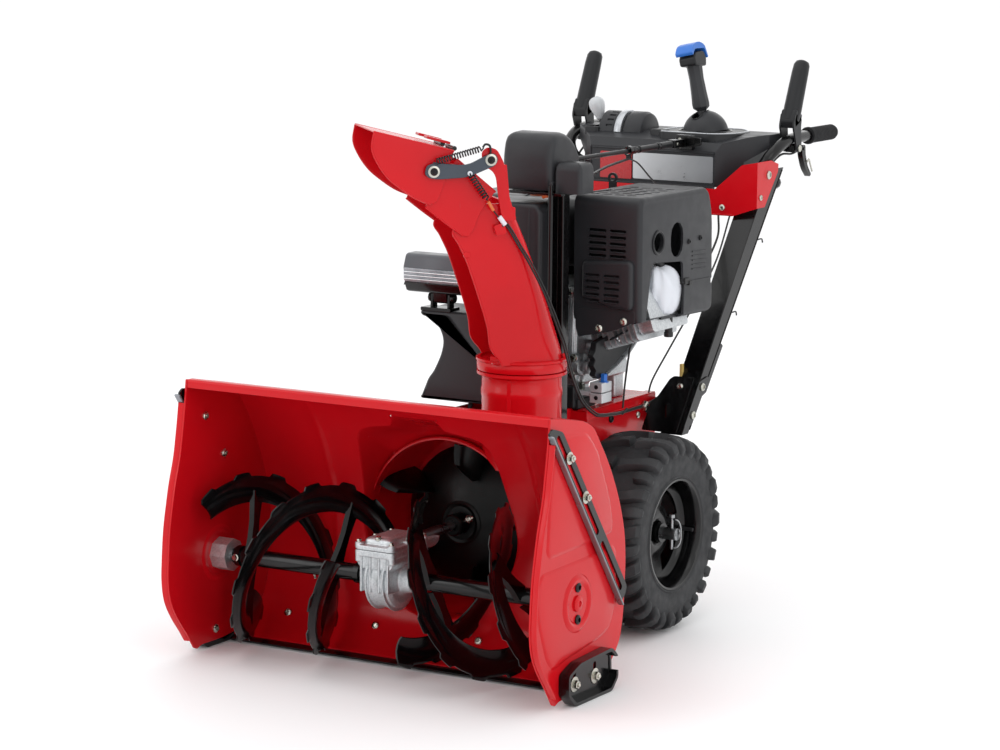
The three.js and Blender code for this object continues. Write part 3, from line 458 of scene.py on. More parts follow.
class Nodes:
    """Short names for the nodes that the materials share."""

    def __init__(self, name):
        self.material = bpy.data.materials.new(name)
        self.material.use_nodes = True
        self.tree = self.material.node_tree
        self.shader = self.tree.nodes["Principled BSDF"]
        self.place = self.tree.nodes.new("ShaderNodeTexCoord").outputs["Object"]

    def link(self, a, b):
        self.tree.links.new(a, b)

    def noise(self, scale, detail=4.0, stretch=None, rough=0.55):
        node = self.tree.nodes.new("ShaderNodeTexNoise")
        node.inputs["Scale"].default_value = scale
        node.inputs["Detail"].default_value = detail
        node.inputs["Roughness"].default_value = rough
        source = self.place
        if stretch:
            mapping = self.tree.nodes.new("ShaderNodeMapping")
            mapping.inputs["Scale"].default_value = stretch
            self.link(self.place, mapping.inputs["Vector"])
            source = mapping.outputs["Vector"]
        self.link(source, node.inputs["Vector"])
        return node.outputs["Fac"]

    def cells(self, scale):
        node = self.tree.nodes.new("ShaderNodeTexVoronoi")
        node.inputs["Scale"].default_value = scale
        self.link(self.place, node.inputs["Vector"])
        return node.outputs["Distance"]

    def bands(self, scale, axis):
        node = self.tree.nodes.new("ShaderNodeTexWave")
        node.bands_direction = axis
        node.inputs["Scale"].default_value = scale
        node.inputs["Distortion"].default_value = 0.0
        self.link(self.place, node.inputs["Vector"])
        return node.outputs["Fac"]

    def span(self, value, low, high, to_low, to_high):
        node = self.tree.nodes.new("ShaderNodeMapRange")
        for key, number in zip(("From Min", "From Max", "To Min", "To Max"), (low, high, to_low, to_high)):
            node.inputs[key].default_value = number
        self.link(value, node.inputs["Value"])
        return node.outputs["Result"]

    def mix(self, factor, a, b):
        node = self.tree.nodes.new("ShaderNodeMix")
        node.data_type = "RGBA"
        self.link(factor, node.inputs[0])
        for socket, colour in ((node.inputs[6], a), (node.inputs[7], b)):
            if isinstance(colour, tuple):
                socket.default_value = colour
            else:
                self.link(colour, socket)
        return node.outputs[2]

    def bump(self, height, strength, distance, under=None):
        node = self.tree.nodes.new("ShaderNodeBump")
        node.inputs["Strength"].default_value = strength
        node.inputs["Distance"].default_value = distance
        self.link(height, node.inputs["Height"])
        if under is not None:
            self.link(under, node.inputs["Normal"])
        return node.outputs["Normal"]

    def set(self, **values):
        for key, value in values.items():
            self.shader.inputs[key.replace("_", " ")].default_value = value


def scaled(colour, factor):
    """A colour made lighter or darker."""
    return tuple(min(1.0, c * factor) for c in colour[:3]) + (1.0,)


def look(name, slot_name, code, rough, metal=0.0, vary=0.12, rough_vary=0.06, grain=900.0, depth=0.00004,
         strength=0.3, peel=0.0, wear="", wear_rough=0.5, coat=0.0, specular=0.5):
    """A material with broad colour change, a fine grain, an uneven gloss and light wear."""
    n = Nodes(name)
    colour = linear(code)
    broad = n.span(n.noise(5.0, 5.0), 0.3, 0.7, 0.0, 1.0)
    base = n.mix(broad, scaled(colour, 1 - vary), scaled(colour, 1 + vary))
    roughness = n.span(n.noise(38.0, 6.0), 0.3, 0.7, max(0.02, rough - rough_vary), rough + rough_vary)
    if wear:
        scuffs = n.span(n.noise(90.0, 8.0, (1.0, 1.0, 0.12), 0.75), 0.64, 0.72, 0.0, 0.5)
        base = n.mix(scuffs, base, linear(wear))
        add = n.tree.nodes.new("ShaderNodeMath")
        add.operation = "MULTIPLY_ADD"
        add.inputs[1].default_value = wear_rough - rough
        n.link(scuffs, add.inputs[0])
        n.link(roughness, add.inputs[2])
        roughness = add.outputs[0]
    n.link(base, n.shader.inputs["Base Color"])
    n.link(roughness, n.shader.inputs["Roughness"])
    normal = n.bump(n.noise(grain, 3.0), strength, depth)
    if peel:
        normal = n.bump(n.noise(140.0, 2.0), peel, 0.0003, normal)
    n.link(normal, n.shader.inputs["Normal"])
    n.set(Metallic=metal, Coat_Weight=coat, Coat_Roughness=0.06, Specular_IOR_Level=specular)
    return {"material": n.material, "slot": slot_name}


RED = look("red_enamel", "red_paint", "c60d18", 0.22, vary=0.06, rough_vary=0.05, peel=0.03, coat=0.12,
           wear="ad1019", wear_rough=0.34, specular=0.22)
BLACK = look("black_enamel", "black_paint", "060607", 0.2, vary=0.25, peel=0.06, coat=0.15,
             wear="191a1b", wear_rough=0.36, specular=0.32)
DISH = look("impeller_enamel", "black_paint", "040404", 0.34, vary=0.2, peel=0.04, wear="141415",
            wear_rough=0.42, specular=0.2)
DARK_STEEL = look("blackened_steel", "black_paint", "1b1c1e", 0.42, 0.5, wear="3b3d40", vary=0.2)
PLASTIC = look("moulded_plastic", "plastic", "2b2c2f", 0.42, vary=0.06, grain=1400.0, depth=0.00012,
               strength=0.55, wear="393a3d", wear_rough=0.54, specular=0.32)
FINE_PLASTIC = look("fine_plastic", "plastic", "212224", 0.36, vary=0.08, grain=2200.0, depth=0.00006,
                    strength=0.4, specular=0.26)
RUBBER = look("soft_rubber", "rubber", "1d1d1f", 0.72, vary=0.12, grain=1100.0, depth=0.0001,
              strength=0.5, specular=0.35)
CABLE = look("cable_sheath", "rubber", "101011", 0.45, vary=0.2, grain=1700.0)
STEEL = look("bright_steel", "steel", "a9abad", 0.3, 1.0, vary=0.14, rough_vary=0.1, wear="7c7f82",
             wear_rough=0.5, strength=0.2)
ZINC = look("zinc_plate", "steel", "c3c2b8", 0.26, 1.0, vary=0.16, rough_vary=0.1, wear="9a9888",
            wear_rough=0.45)
LINK = look("link_plate", "steel", "4a5058", 0.38, 0.8, vary=0.12, wear="6d747e", wear_rough=0.5)
# Light grey on a black-painted part: a painted highlight along the drift cutter's turned-out edge, with
# darker random scuffs.
EDGE_HIGHLIGHT_GREY = look("painted_highlight_edge", "black_paint", "8a8d92", 0.36, 0.75, vary=0.2,
                  rough_vary=0.12, wear="3a3c3f")
COIL = look("oiled_spring", "steel", "3a3b3d", 0.36, 0.9, vary=0.25, wear="6a6c6f")
CHROME = look("bright_shield", "steel", "d6d8da", 0.12, 1.0, vary=0.1, rough_vary=0.06, peel=0.1)
BLUE = look("blue_plastic", "blue_plastic", "2a6cc4", 0.4, vary=0.08, grain=1600.0, depth=0.00006)
KNOB = look("pale_knob", "knob", "c3c6c9", 0.3, vary=0.06, grain=1500.0, coat=0.3)
WHITE = look("white_pouch", "knob", "dde1e8", 0.5, vary=0.05, grain=700.0, depth=0.0002, strength=0.4)
ORANGE = look("orange_clip", "knob", "d9713a", 0.45, vary=0.1)
YELLOW = look("yellow_tag", "knob", "cdb26a", 0.5, vary=0.1)
BLOCK = look("bare_aluminium", "aluminium", "c9cccf", 0.42, 0.3, vary=0.08, rough_vary=0.08)
BADGE = look("badge_block", "red_paint", "b30f18", 0.3, vary=0.06, grain=900.0, coat=0.2)
BRUSHED = look("silver_trim", "steel", "b9bcc0", 0.3, 0.7, vary=0.08, grain=1300.0)


def cast_look():
    """Sand-cast aluminium: a pebbled bright skin with darker pores."""
    n = Nodes("cast_aluminium")
    pebbles = n.cells(700.0)
    pores = n.span(n.noise(260.0, 6.0), 0.42, 0.62, 0.0, 1.0)
    base = n.mix(pores, linear("d3d6d8"), linear("bfc3c6"))
    n.link(base, n.shader.inputs["Base Color"])
    n.link(n.span(n.noise(120.0, 4.0), 0.3, 0.7, 0.34, 0.56), n.shader.inputs["Roughness"])
    n.link(n.bump(n.noise(480.0, 5.0), 0.16, 0.0002, n.bump(pebbles, 0.08, 0.0003)),
           n.shader.inputs["Normal"])
    n.set(Metallic=0.85)
    return {"material": n.material, "slot": "aluminium"}


def tyre_look():
    """Tyre rubber: matt, faintly dusty, with fine moulding lines round it."""
    n = Nodes("tyre_rubber")
    dust = n.span(n.noise(14.0, 7.0, rough=0.65), 0.42, 0.75, 0.0, 0.55)
    base = n.mix(dust, linear("252628"), linear("3c3d3f"))
    n.link(base, n.shader.inputs["Base Color"])
    n.link(n.span(n.noise(60.0, 5.0), 0.3, 0.7, 0.52, 0.76), n.shader.inputs["Roughness"])
    fine = n.bump(n.noise(900.0, 4.0), 0.4, 0.00025)
    n.link(n.bump(n.noise(170.0, 4.0), 0.25, 0.0006, fine), n.shader.inputs["Normal"])
    n.set(Specular_IOR_Level=0.4)
    return {"material": n.material, "slot": "tyre"}


def label_look():
    """A silver decal with a plain fade from end to end and fine cross lines, with no lettering."""
    n = Nodes("silver_decal")
    split = n.tree.nodes.new("ShaderNodeSeparateXYZ")
    n.link(n.place, split.inputs["Vector"])
    fade = n.span(split.outputs["X"], -0.14, 0.19, 0.0, 1.0)
    lines = n.span(n.bands(160.0, "Z"), 0.46, 0.54, 0.0, 0.25)
    base = n.mix(lines, n.mix(fade, linear("e4e6e8"), linear("7f8286")), linear("9b9ea2"))
    n.link(base, n.shader.inputs["Base Color"])
    n.link(n.span(n.noise(70.0), 0.3, 0.7, 0.26, 0.42), n.shader.inputs["Roughness"])
    n.link(n.bump(n.noise(1200.0), 0.15, 0.00003), n.shader.inputs["Normal"])
    n.set(Metallic=0.55)
    return {"material": n.material, "slot": "lamp"}


def lens_look():
    """Clear moulded lamp lens with upright flutes over a bright reflector."""
    n = Nodes("lamp_lens")
    flutes = n.bands(95.0, "X")
    base = n.mix(n.span(n.noise(24.0), 0.3, 0.7, 0.0, 1.0), linear("b3bac0"), linear("7d848b"))
    n.link(base, n.shader.inputs["Base Color"])
    n.link(n.bump(flutes, 0.9, 0.0012), n.shader.inputs["Normal"])
    n.link(n.span(n.noise(50.0), 0.3, 0.7, 0.06, 0.14), n.shader.inputs["Roughness"])
    n.set(Metallic=0.35, Coat_Weight=1.0, Coat_Roughness=0.03)
    return {"material": n.material, "slot": "lamp"}


def floor_look():
    """A plain, very pale floor."""
    n = Nodes("studio_floor")
    base = n.mix(n.span(n.noise(0.8, 3.0), 0.3, 0.7, 0.0, 1.0), linear("fdfdfe"), linear("fbfbfc"))
    n.link(base, n.shader.inputs["Base Color"])
    n.set(Roughness=0.55)
    return n.material


CAST = cast_look()
TYRE = tyre_look()
DECAL = label_look()
LENS = lens_look()
LAMP_TOP = look("lamp_housing", "lamp", "55585d", 0.34, 0.1, vary=0.08, grain=1500.0,
                specular=0.4)


# ---------------------------------------------------------------- studio
def make_camera():
    """The camera, from the angles, distance, roll and target above."""
    azimuth, elevation = math.radians(CAMERA["azimuth"]), math.radians(CAMERA["elevation"])
    back = Vector((math.sin(azimuth) * math.cos(elevation), -math.cos(azimuth) * math.cos(elevation),
                   math.sin(elevation)))
    right = Vector((math.cos(azimuth), math.sin(azimuth), 0))
    up = back.cross(right)
    c, s = math.cos(math.radians(CAMERA["roll"])), math.sin(math.radians(CAMERA["roll"]))
    right, up = right * c + up * s, up * c - right * s
    data = bpy.data.cameras.new("camera")
    data.lens = CAMERA["lens"]
    data.sensor_width = 36.0
    data.clip_end = 200.0
    camera = bpy.data.objects.new("camera", data)
    camera.matrix_world = Matrix.Translation(Vector(CAMERA["target"]) + back * CAMERA["distance"]) @ Matrix(
        (right, up, back)).transposed().to_4x4()
    bpy.context.scene.collection.objects.link(camera)
    bpy.context.scene.camera = camera


LIGHT_TARGET = Vector((0.0, -0.1, 0.5))  # row frame, metres


def make_light(name, at, size, power):
    """A soft rectangular light, aimed at the machine and hidden from the camera."""
    data = bpy.data.lights.new(name, "AREA")
    data.shape = "RECTANGLE"
    data.size, data.size_y = size
    data.energy = power
    light = bpy.data.objects.new(name, data)
    light.location = at
    light.rotation_mode = "QUATERNION"
    light.rotation_quaternion = (Vector(at) - LIGHT_TARGET).to_track_quat("Z", "Y")
    light.visible_camera = False
    bpy.context.scene.collection.objects.link(light)


def make_studio():
    """A white world, a pale floor and soft lights."""
    world = bpy.data.worlds.new("studio")
    world.use_nodes = True
    world.node_tree.nodes["Background"].inputs["Color"].default_value = (1.0, 1.0, 1.0, 1.0)
    world.node_tree.nodes["Background"].inputs["Strength"].default_value = 1.05
    bpy.context.scene.world = world
    bpy.context.scene.view_settings.view_transform = "Standard"
    mesh = bpy.data.meshes.new("floor")
    mesh.from_pydata([(-60, -60, -0.0006), (60, -60, -0.0006), (60, 60, -0.0006), (-60, 60, -0.0006)], [],
                     [(0, 1, 2, 3)])
    mesh.materials.append(floor_look())
    floor = bpy.data.objects.new("floor", mesh)
    bpy.context.scene.collection.objects.link(floor)
    make_light("right_box", (3.4, -1.6, 1.9), (2.2, 2.6), 16)
    make_light("top_box", (-0.4, -0.6, 3.6), (3.6, 3.0), 20)
    make_light("left_box", (-2.6, -3.4, 2.2), (1.4, 2.6), 16)
    make_light("back_box", (-1.2, 3.6, 2.4), (3.0, 1.6), 12)


# ---------------------------------------------------------------- auger housing
HOUSING_LINE = [(2, 551), (20, 549.5), (60, 542), (118, 530), (160, 509), (196, 468), (226, 417),
                (252, 358), (276, 290), (284, 235), (280, 150), (262, 84), (232, 46), (190, 24), (152, 13)]
SIDE_OUTLINE = [(-3, 553), (120, 532), (162, 514), (228, 430), (268, 356), (290, 291), (295, 235), (289, 135),
                (276, 82), (251, 55), (215, 24), (110, 12), (41, 12), (27, 6), (16, 10), (-5, 40), (-40, 82),
                (-62, 118), (-69, 160), (-67, 200), (-62, 262), (-43, 350), (-26, 400), (-13, 475), (-9, 503)]
SIDE_RADII = [3, 10, 16, 40, 60, 60, 60, 60, 40, 30, 20, 20, 10, 3, 3, 30, 30, 30, 30, 30, 60, 60, 60, 60, 3]
RIB_X = 243.0
CUTTER_BOLTS = [(57, 472), (120, 388)]
SKID_BOLTS = [(88, 36), (166, 36)]


def back_at(height):
    """The Y of the housing's back sheet at a height below its shoulder."""
    line = curve(HOUSING_LINE[4:], 6)
    for a, b in zip(line, line[1:]):
        if b.y <= height <= a.y:
            return a.x + (b.x - a.x) * (a.y - height) / max(1e-6, a.y - b.y)
    return line[-1].x


def opening_outline():
    """(X, Z) of the opening from the housing into the drum: round below, squared above with a tab."""
    low = arc((0, DRUM_Z), DRUM_R - 2, 0, -180, 28)
    left = [(-172, 300), (-162, 384), (-154, 432), (-140, 450), (-112, 459), (-62, 466), (-56, 476),
            (-54, 490)]
    return low + left + [(-x, z) for x, z in reversed(left)]


def reach_at(outline, centre, angle):
    """How far an outline lies from a centre, along an angle."""
    direction = Vector((math.cos(angle), math.sin(angle)))
    best = 0.0
    for a, b in zip(outline, outline[1:] + outline[:1]):
        ax, ay = a[0] - centre[0], a[1] - centre[1]
        dx, dy = b[0] - a[0], b[1] - a[1]
        det = direction.x * dy - direction.y * dx
        if abs(det) < 1e-9:
            continue
        t = (ax * dy - ay * dx) / det
        u = (ax * direction.y - ay * direction.x) / det
        if -1e-6 <= u <= 1 + 1e-6 and t > best:
            best = t
    return best


def housing_sheet():
    """The bent sheet, with a ridge pressed in at each side of the opening."""
    line = curve(HOUSING_LINE, 6)
    ridge = [(-14, 0), (-8, 0.6), (-4, 2.6), (0, 3.6), (4, 2.6), (8, 0.6), (14, 0)]
    columns = {x: 0.0 for x in (-406.4, -380, -340, -300, -270, -210, -170, -120, -60, 0)}
    columns.update({-RIB_X + dx: lift for dx, lift in ridge})
    columns.update({-x: lift for x, lift in list(columns.items())})
    rows = []
    for i, p in enumerate(line):
        step = line[min(i + 1, len(line) - 1)] - line[max(i - 1, 0)]
        inward = Vector((-step.y, step.x)).normalized() * -1
        fade = min(1.0, max(0.0, (i - 16) / 6), (len(line) - 1 - i) / 12)
        rows.append([(x, p.x - abs(inward.x) * lift * fade, p.y - inward.y * lift * fade * 0.5)
                     for x, lift in sorted(columns.items())])
    return surface(rows)


def make_housing():
    """The auger housing's sheets, with the drum and the side plates."""
    opening = opening_outline()
    piece("auger_housing_sheet", housing_sheet(), RED, "machine", thick=SHEET, sharp=50,
          cuts=prism(opening, 120, 330, "XZ"), replaces=["auger_housing"])
    lip = rounded([(-3, 536), (-3, 552.5), (14, 553), (14, 549.5), (1.5, 548), (1.5, 536)],
                  [1, 4.5, 1.5, 1, 2.5, 1])
    piece("housing_top_lip", prism(lip, -406.4, 406.4), RED, "machine", bevel=0.5)
    angles = [2 * math.pi * k / 96 for k in range(96)]
    centre = (0, DRUM_Z)
    reaches = [reach_at(opening, centre, a) for a in angles]
    rings = []
    for share, extra, depth in ((1.0, 2.5, -3.0), (1.0, 0.0, 1.0), (1.0, -1.5, 6.0), (0.75, -1.5, 34.0),
                                (0.3, -1.0, 62.0), (0.0, 0.0, 84.0)):
        ring = []
        for a, reach in zip(angles, reaches):
            r = reach * share + (DRUM_R - 3) * (1 - share) + extra
            z = DRUM_Z + math.sin(a) * reach
            y = back_at(z) * share + (back_at(DRUM_Z) + 30) * (1 - share) + depth * (0.5 if share else 0.1)
            ring.append((math.cos(a) * r, y, DRUM_Z + math.sin(a) * r))
        rings.append(ring)
    piece("drum_collar", loft(rings, caps=False), RED, "machine", thick=2.0, sharp=50)
    make_drum()
    make_side_plates()


def make_drum():
    """The drum round the impeller, behind the housing's opening."""
    shell = lathe([(DRUM_R - 3, 300), (DRUM_R, 300), (DRUM_R + 3, 303), (DRUM_R + 3, 309), (DRUM_R, 312),
                   (DRUM_R, 446), (DRUM_R - 6, 455), (92, 455), (84, 459), (60, 459), (52, 455), (12, 455),
                   (12, 452), (DRUM_R - 8, 451), (DRUM_R - 3, 444)], "Y", (0, DRUM_Z), 96)
    throat = lathe([(0.01, 300), (75, 300), (75, 600), (0.01, 600)], "Z", (CHUTE_X, CHUTE_Y), 64)
    piece("impeller_drum_shell", shell, RED, "machine", cuts=throat, sharp=40, replaces=["impeller_drum"])
    neck = lathe([(76, 380), (79, 380), (79, 520), (80.5, 523), (80.5, 536), (79, 539), (79, 560),
                  (84, 564), (89, 565), (89, 571), (84, 572), (76, 572)], "Z", (CHUTE_X, CHUTE_Y), 96)
    piece("drum_neck", neck, RED, "machine", sharp=40,
          cuts=lathe([(0.01, 292), (DRUM_R - 2, 292), (DRUM_R - 2, 460), (0.01, 460)], "Y", (0, DRUM_Z), 72))
    seam = prism(rounded_box(-4, 4, 400, 560, 3), 78.5, 80.5, "YZ")
    piece("neck_seam", seam.turned(-78, "Z").shifted(CHUTE_X, CHUTE_Y), RED, "machine", bevel=0.5)


def raised_panel(outline, x, height, slope):
    """A panel pressed out of the plate, with soft edges."""
    rings = []
    for inset, lift in ((0.0, -1.0), (0.0, 0.0), (slope * 0.25, height * 0.25), (slope * 0.65, height * 0.8),
                        (slope, height)):
        ring = grown(outline, -inset)
        rings.append([(x + lift, p.x, p.y) for p in ring])
    return loft(rings)


def front_flange(outline, width):
    """The side plate's front edge turned outwards, as an open strip of sheet."""
    closed = rounded(outline, SIDE_RADII)
    p = [Vector(q) for q in closed]
    rows = []
    for i, corner in enumerate(p):
        if not (corner.x < 24 and 16 < corner.y < 508):
            continue
        along = (p[(i + 1) % len(p)] - p[i - 1]).normalized()
        inward = Vector((along.y, -along.x))
        if inward.x < 0:
            inward = -inward
        rows.append((corner.y, [(PLATE_X - 2 + out, *(corner + inward * back)) for back, out in
                                ((20, 0), (9, 0), (5, 0.6), (2.4, 2.4), (1.2, 5.5), (1.0, width))]))
    rows.sort(key=lambda pair: pair[0])
    return surface([line for _, line in rows])


def make_side_plates():
    """Both side plates with their pressings, bolts, skids and drift cutters."""
    upper = rounded([(20, 520), (136, 508), (178, 466), (226, 369), (240, 319), (236, 300), (205, 297),
                     (0, 290), (-14, 302), (-6, 400), (8, 478)], 16)
    lower = rounded([(-30, 268), (134, 271), (238, 277), (255, 262), (253, 160), (236, 118), (200, 104),
                     (130, 94), (60, 86), (15, 74), (-10, 98), (-30, 145), (-50, 200), (-46, 250)], 18)
    ridge = lathe([(36, 412), (39, 414.4), (44, 416.6), (48, 416.6), (53, 414.2), (56, 412), (53, 411),
                   (37, 411)], "X", (AUGER_Y, AUGER_Z), 72)
    hub = lathe([(0.01, 412), (16, 412), (16, 417), (13, 419), (6, 419.5), (5, 417), (0.01, 417)],
                "X", (AUGER_Y, AUGER_Z), 40)
    inner_ring = lathe([(40, 408), (44, 405.4), (50, 405), (56, 405.8), (60, 408)], "X",
                       (AUGER_Y, AUGER_Z), 64)
    for side, turn_over in SIDES:
        plate = prism(rounded(SIDE_OUTLINE, SIDE_RADII), PLATE_X - 4, PLATE_X)
        piece("side_plate_sheet_" + side, turn_over(plate), RED, "machine", bevel=1.0,
              replaces=["side_plate_" + side])
        press = joined([raised_panel(upper, PLATE_X, 2.6, 7), raised_panel(lower, PLATE_X, 2.6, 7),
                        ridge.shifted(1.4), hub, inner_ring])
        piece("side_plate_pressing_" + side, turn_over(press), RED, "machine", sharp=40)
        piece("side_plate_flange_" + side, turn_over(front_flange(SIDE_OUTLINE, 15)), RED, "machine",
              thick=2.6, sharp=60)
        dark = joined([screw((414, AUGER_Y, AUGER_Z + dz), (1, 0, 0), 9.5, 4.5) for dz in (-31, 31)])
        piece("bearing_screws_" + side, turn_over(dark), BLACK, "machine")
        heads = joined([screw((406.5, y, z), (-1, 0, 0), 8.5, 4.5) for y, z in CUTTER_BOLTS + SKID_BOLTS])
        piece("carriage_heads_" + side, turn_over(heads), ZINC, "machine")
        make_skid(side, turn_over)
        make_cutter(side, turn_over)
    for node in ("auger_bearing_left", "auger_bearing_right"):
        keep(node, CAST, 1.6)
    keep("scraper_blade", BLACK, 0.8)
    low_bolts = joined([screw((x, back_at(50) - 4, 50), (0, -1, 0.5), 8, 4) for x in (-330, -120, 120, 330)])
    piece("scraper_bolts", low_bolts, ZINC, "machine")


def make_skid(side, turn_over):
    """A reversible skid: a slotted plate in a deep rim that is broken at the rear."""
    outer = rounded([(38, 24), (66, 0), (206, 0), (230, 22), (228, 66), (204, 85), (82, 80), (38, 64)], 8)
    inner = grown(outer, -6.5)
    rear_gap = prism(rounded([(200, 36), (240, 36), (240, 62), (210, 66)], 6), 419, 450)
    slots = joined([prism(slot(c, 44, 11, 90), 405, 425) for c in ((88, 42), (166, 42))])
    body = prism(outer, PLATE_X + 0.8, PLATE_X + 23)
    piece("skid_shoe_" + side, turn_over(body), BLACK, "machine", bevel=1.8, segments=3,
          cuts=turn_over(joined([prism(inner, PLATE_X + 6, PLATE_X + 40), rear_gap, slots])),
          replaces=["skid_" + side])
    nuts = joined([bolt((PLATE_X + 6.5, y, z), (1, 0, 0), 15, 9, 1.8, 3) for y, z in SKID_BOLTS])
    piece("skid_nuts_" + side, turn_over(nuts), ZINC, "machine")


def make_cutter(side, turn_over):
    """The slotted drift cutter: a flat bar with its front edge turned out, held by two nuts."""
    body = "drift_cutter_" + side
    top, length, tilt, half = Vector((0, -4, 540)), 466.0, -52.8, 19.5
    flat = rounded([(2, -half), (length, -half), (length, half - 16), (length - 8, half), (34, half),
                    (2, half - 24)], [2, 6, 6, 8, 8, 6])
    holes = [slot((158, 0), 264, 12), slot((379, 0), 134, 12)]
    bar = prism(flat, PLATE_X + 3.2, PLATE_X + 7, "YZ", holes)
    edge = rounded([(PLATE_X + 3.2, -half - 3.6), (PLATE_X + 16, -half - 3.6), (PLATE_X + 16, -half),
                    (PLATE_X + 7, -half + 2), (PLATE_X + 3.2, -half + 2)], [3, 1.6, 1.6, 3, 1])
    lip = prism([(p[0], p[1]) for p in edge], 6, length, "XZ")
    move = Matrix.Translation(top) @ Matrix.Rotation(math.radians(tilt), 4, "X")
    piece("drift_bar_" + side, turn_over(bar.moved(move)), BLACK, body, bevel=0.9,
          replaces=["drift_cutter_" + side])
    # The turned-out edge carries the painted highlight grey, not bare metal.
    piece("drift_edge_" + side, turn_over(lip.moved(move)), EDGE_HIGHLIGHT_GREY, body, bevel=0.7)
    nuts = joined([bolt((PLATE_X + 7.5, y, z), (1, 0, 0), 13, 9, 1.7, 3) for y, z in CUTTER_BOLTS])
    piece("cutter_nuts_" + side, turn_over(nuts), ZINC, "machine")


# ---------------------------------------------------------------- augers, gearbox and impeller
AUGER_TURNS = 360.0 / 355.0


def tooth(distance, period=86.0, share=0.46, slope=0.05):
    """A raised tooth with sloping ends: 1 on the tooth and 0 in the gap after it."""
    t = (distance / period) % 1.0
    if t < share:
        return min(1.0, t / slope, (share - t) / slope)
    return 0.0


def ribbon(x0, x1, start, hand):
    """One flight: a sheet ribbon with a pressed bead and a serrated outer edge."""
    steps = 230
    inner, crown = AUGER_R - 56, AUGER_R + 3
    rings = []
    for i in range(steps + 1):
        t = i / steps
        degrees = start + hand * AUGER_TURNS * (x1 - x0) * t
        a = math.radians(degrees)
        x = x0 + (x1 - x0) * t
        travel = math.radians(AUGER_TURNS * (x1 - x0) * t) * AUGER_R
        outer = crown - 8 * (1 - tooth(travel)) - max(0.0, 1 - min(t, 1 - t) * 30) * 6
        section = [(inner, -1.2), (inner + 6, 2.4), (inner + 16, 4.6), (inner + 28, 4.4), (inner + 38, 1.2),
                   (inner + 44, -1.4), (outer - 1, -1.6), (outer, -1.2), (outer, 0.8), (outer - 1, 1.4),
                   (inner + 45, 1.8), (inner + 39, 4.6), (inner + 29, 7.8), (inner + 15, 8.0),
                   (inner + 4, 5.4), (inner - 1.6, 1.2)]
        rings.append([(x + dx * hand, AUGER_Y - math.cos(a) * r, AUGER_Z + math.sin(a) * r)
                      for r, dx in section])
    return loft(rings)


def auger_spoke(x, degrees):
    """A pressed arm from the tube to a flight: two edges folded forward beside a hollow middle."""
    outer = AUGER_R - 34
    rings = []
    for share in (0.0, 0.25, 0.5, 0.75, 1.0):
        reach = 10 + (outer - 10) * share
        half = 21 - 8 * math.sin(math.pi * min(1.0, share * 1.1)) * 0.8
        section = [(-half, -5), (-half + 5, 3), (half - 5, 3), (half, -5), (half - 2.5, -6),
                   (half - 7, 0.2), (-half + 7, 0.2), (-half + 2.5, -6)]
        rings.append([(x + depth, across, reach) for across, depth in section])
    return loft(rings).turned(degrees - 90, "X").shifted(0, AUGER_Y, AUGER_Z)


def make_augers():
    """Both augers with their pins and grease fittings, and their shaft."""
    for name, x0, x1, start, hand in (("auger_left", 49, 375, 110, -1), ("auger_right", -375, -49, 49, 1)):
        parts = []
        for phase in (0, 180):
            parts.append(ribbon(x0, x1, start + phase, hand))
            for t in (0.15, 0.76):
                x = x0 + (x1 - x0) * t
                angle = 180 - (start + phase + AUGER_TURNS * hand * (x - x0))
                parts.append(auger_spoke(x, angle))
        tube_part = lathe([(12.8, x0 + 10), (17, x0 + 10), (17, x1 - 10), (12.8, x1 - 10)], "X",
                          (AUGER_Y, AUGER_Z), 40)
        parts.append(tube_part)
        for x in (x0 + 22, x1 - 22):
            parts.append(lathe([(16, x - 8), (21, x - 6), (21, x + 6), (16, x + 8)], "X",
                               (AUGER_Y, AUGER_Z), 40))
        piece(name + "_flights", joined(parts), BLACK, "augers", sharp=28, replaces=[name])
        pin_x = x0 + 22
        pins = [bolt((pin_x, AUGER_Y - 20, AUGER_Z), (0, -1, 0), 10, 6, 1.3),
                rod((pin_x, AUGER_Y - 20, AUGER_Z), (pin_x, AUGER_Y + 24, AUGER_Z), 3.6)]
        nipple = lathe([(0.01, 15), (4, 15), (4, 20), (2.2, 21), (2.2, 24), (3.4, 25), (3.4, 27), (1.2, 29),
                        (0.01, 29)], sides=14)
        pins.append(nipple.turned(200, "X").shifted((x0 + x1) / 2 + 30, AUGER_Y, AUGER_Z))
        piece(name + "_pins", joined(pins), ZINC, "augers")
    keep("auger_shaft", STEEL, 1.0)
    keep("worm_wheel", STEEL, 0.4)
    keep("impeller_shaft", STEEL, 0.6)


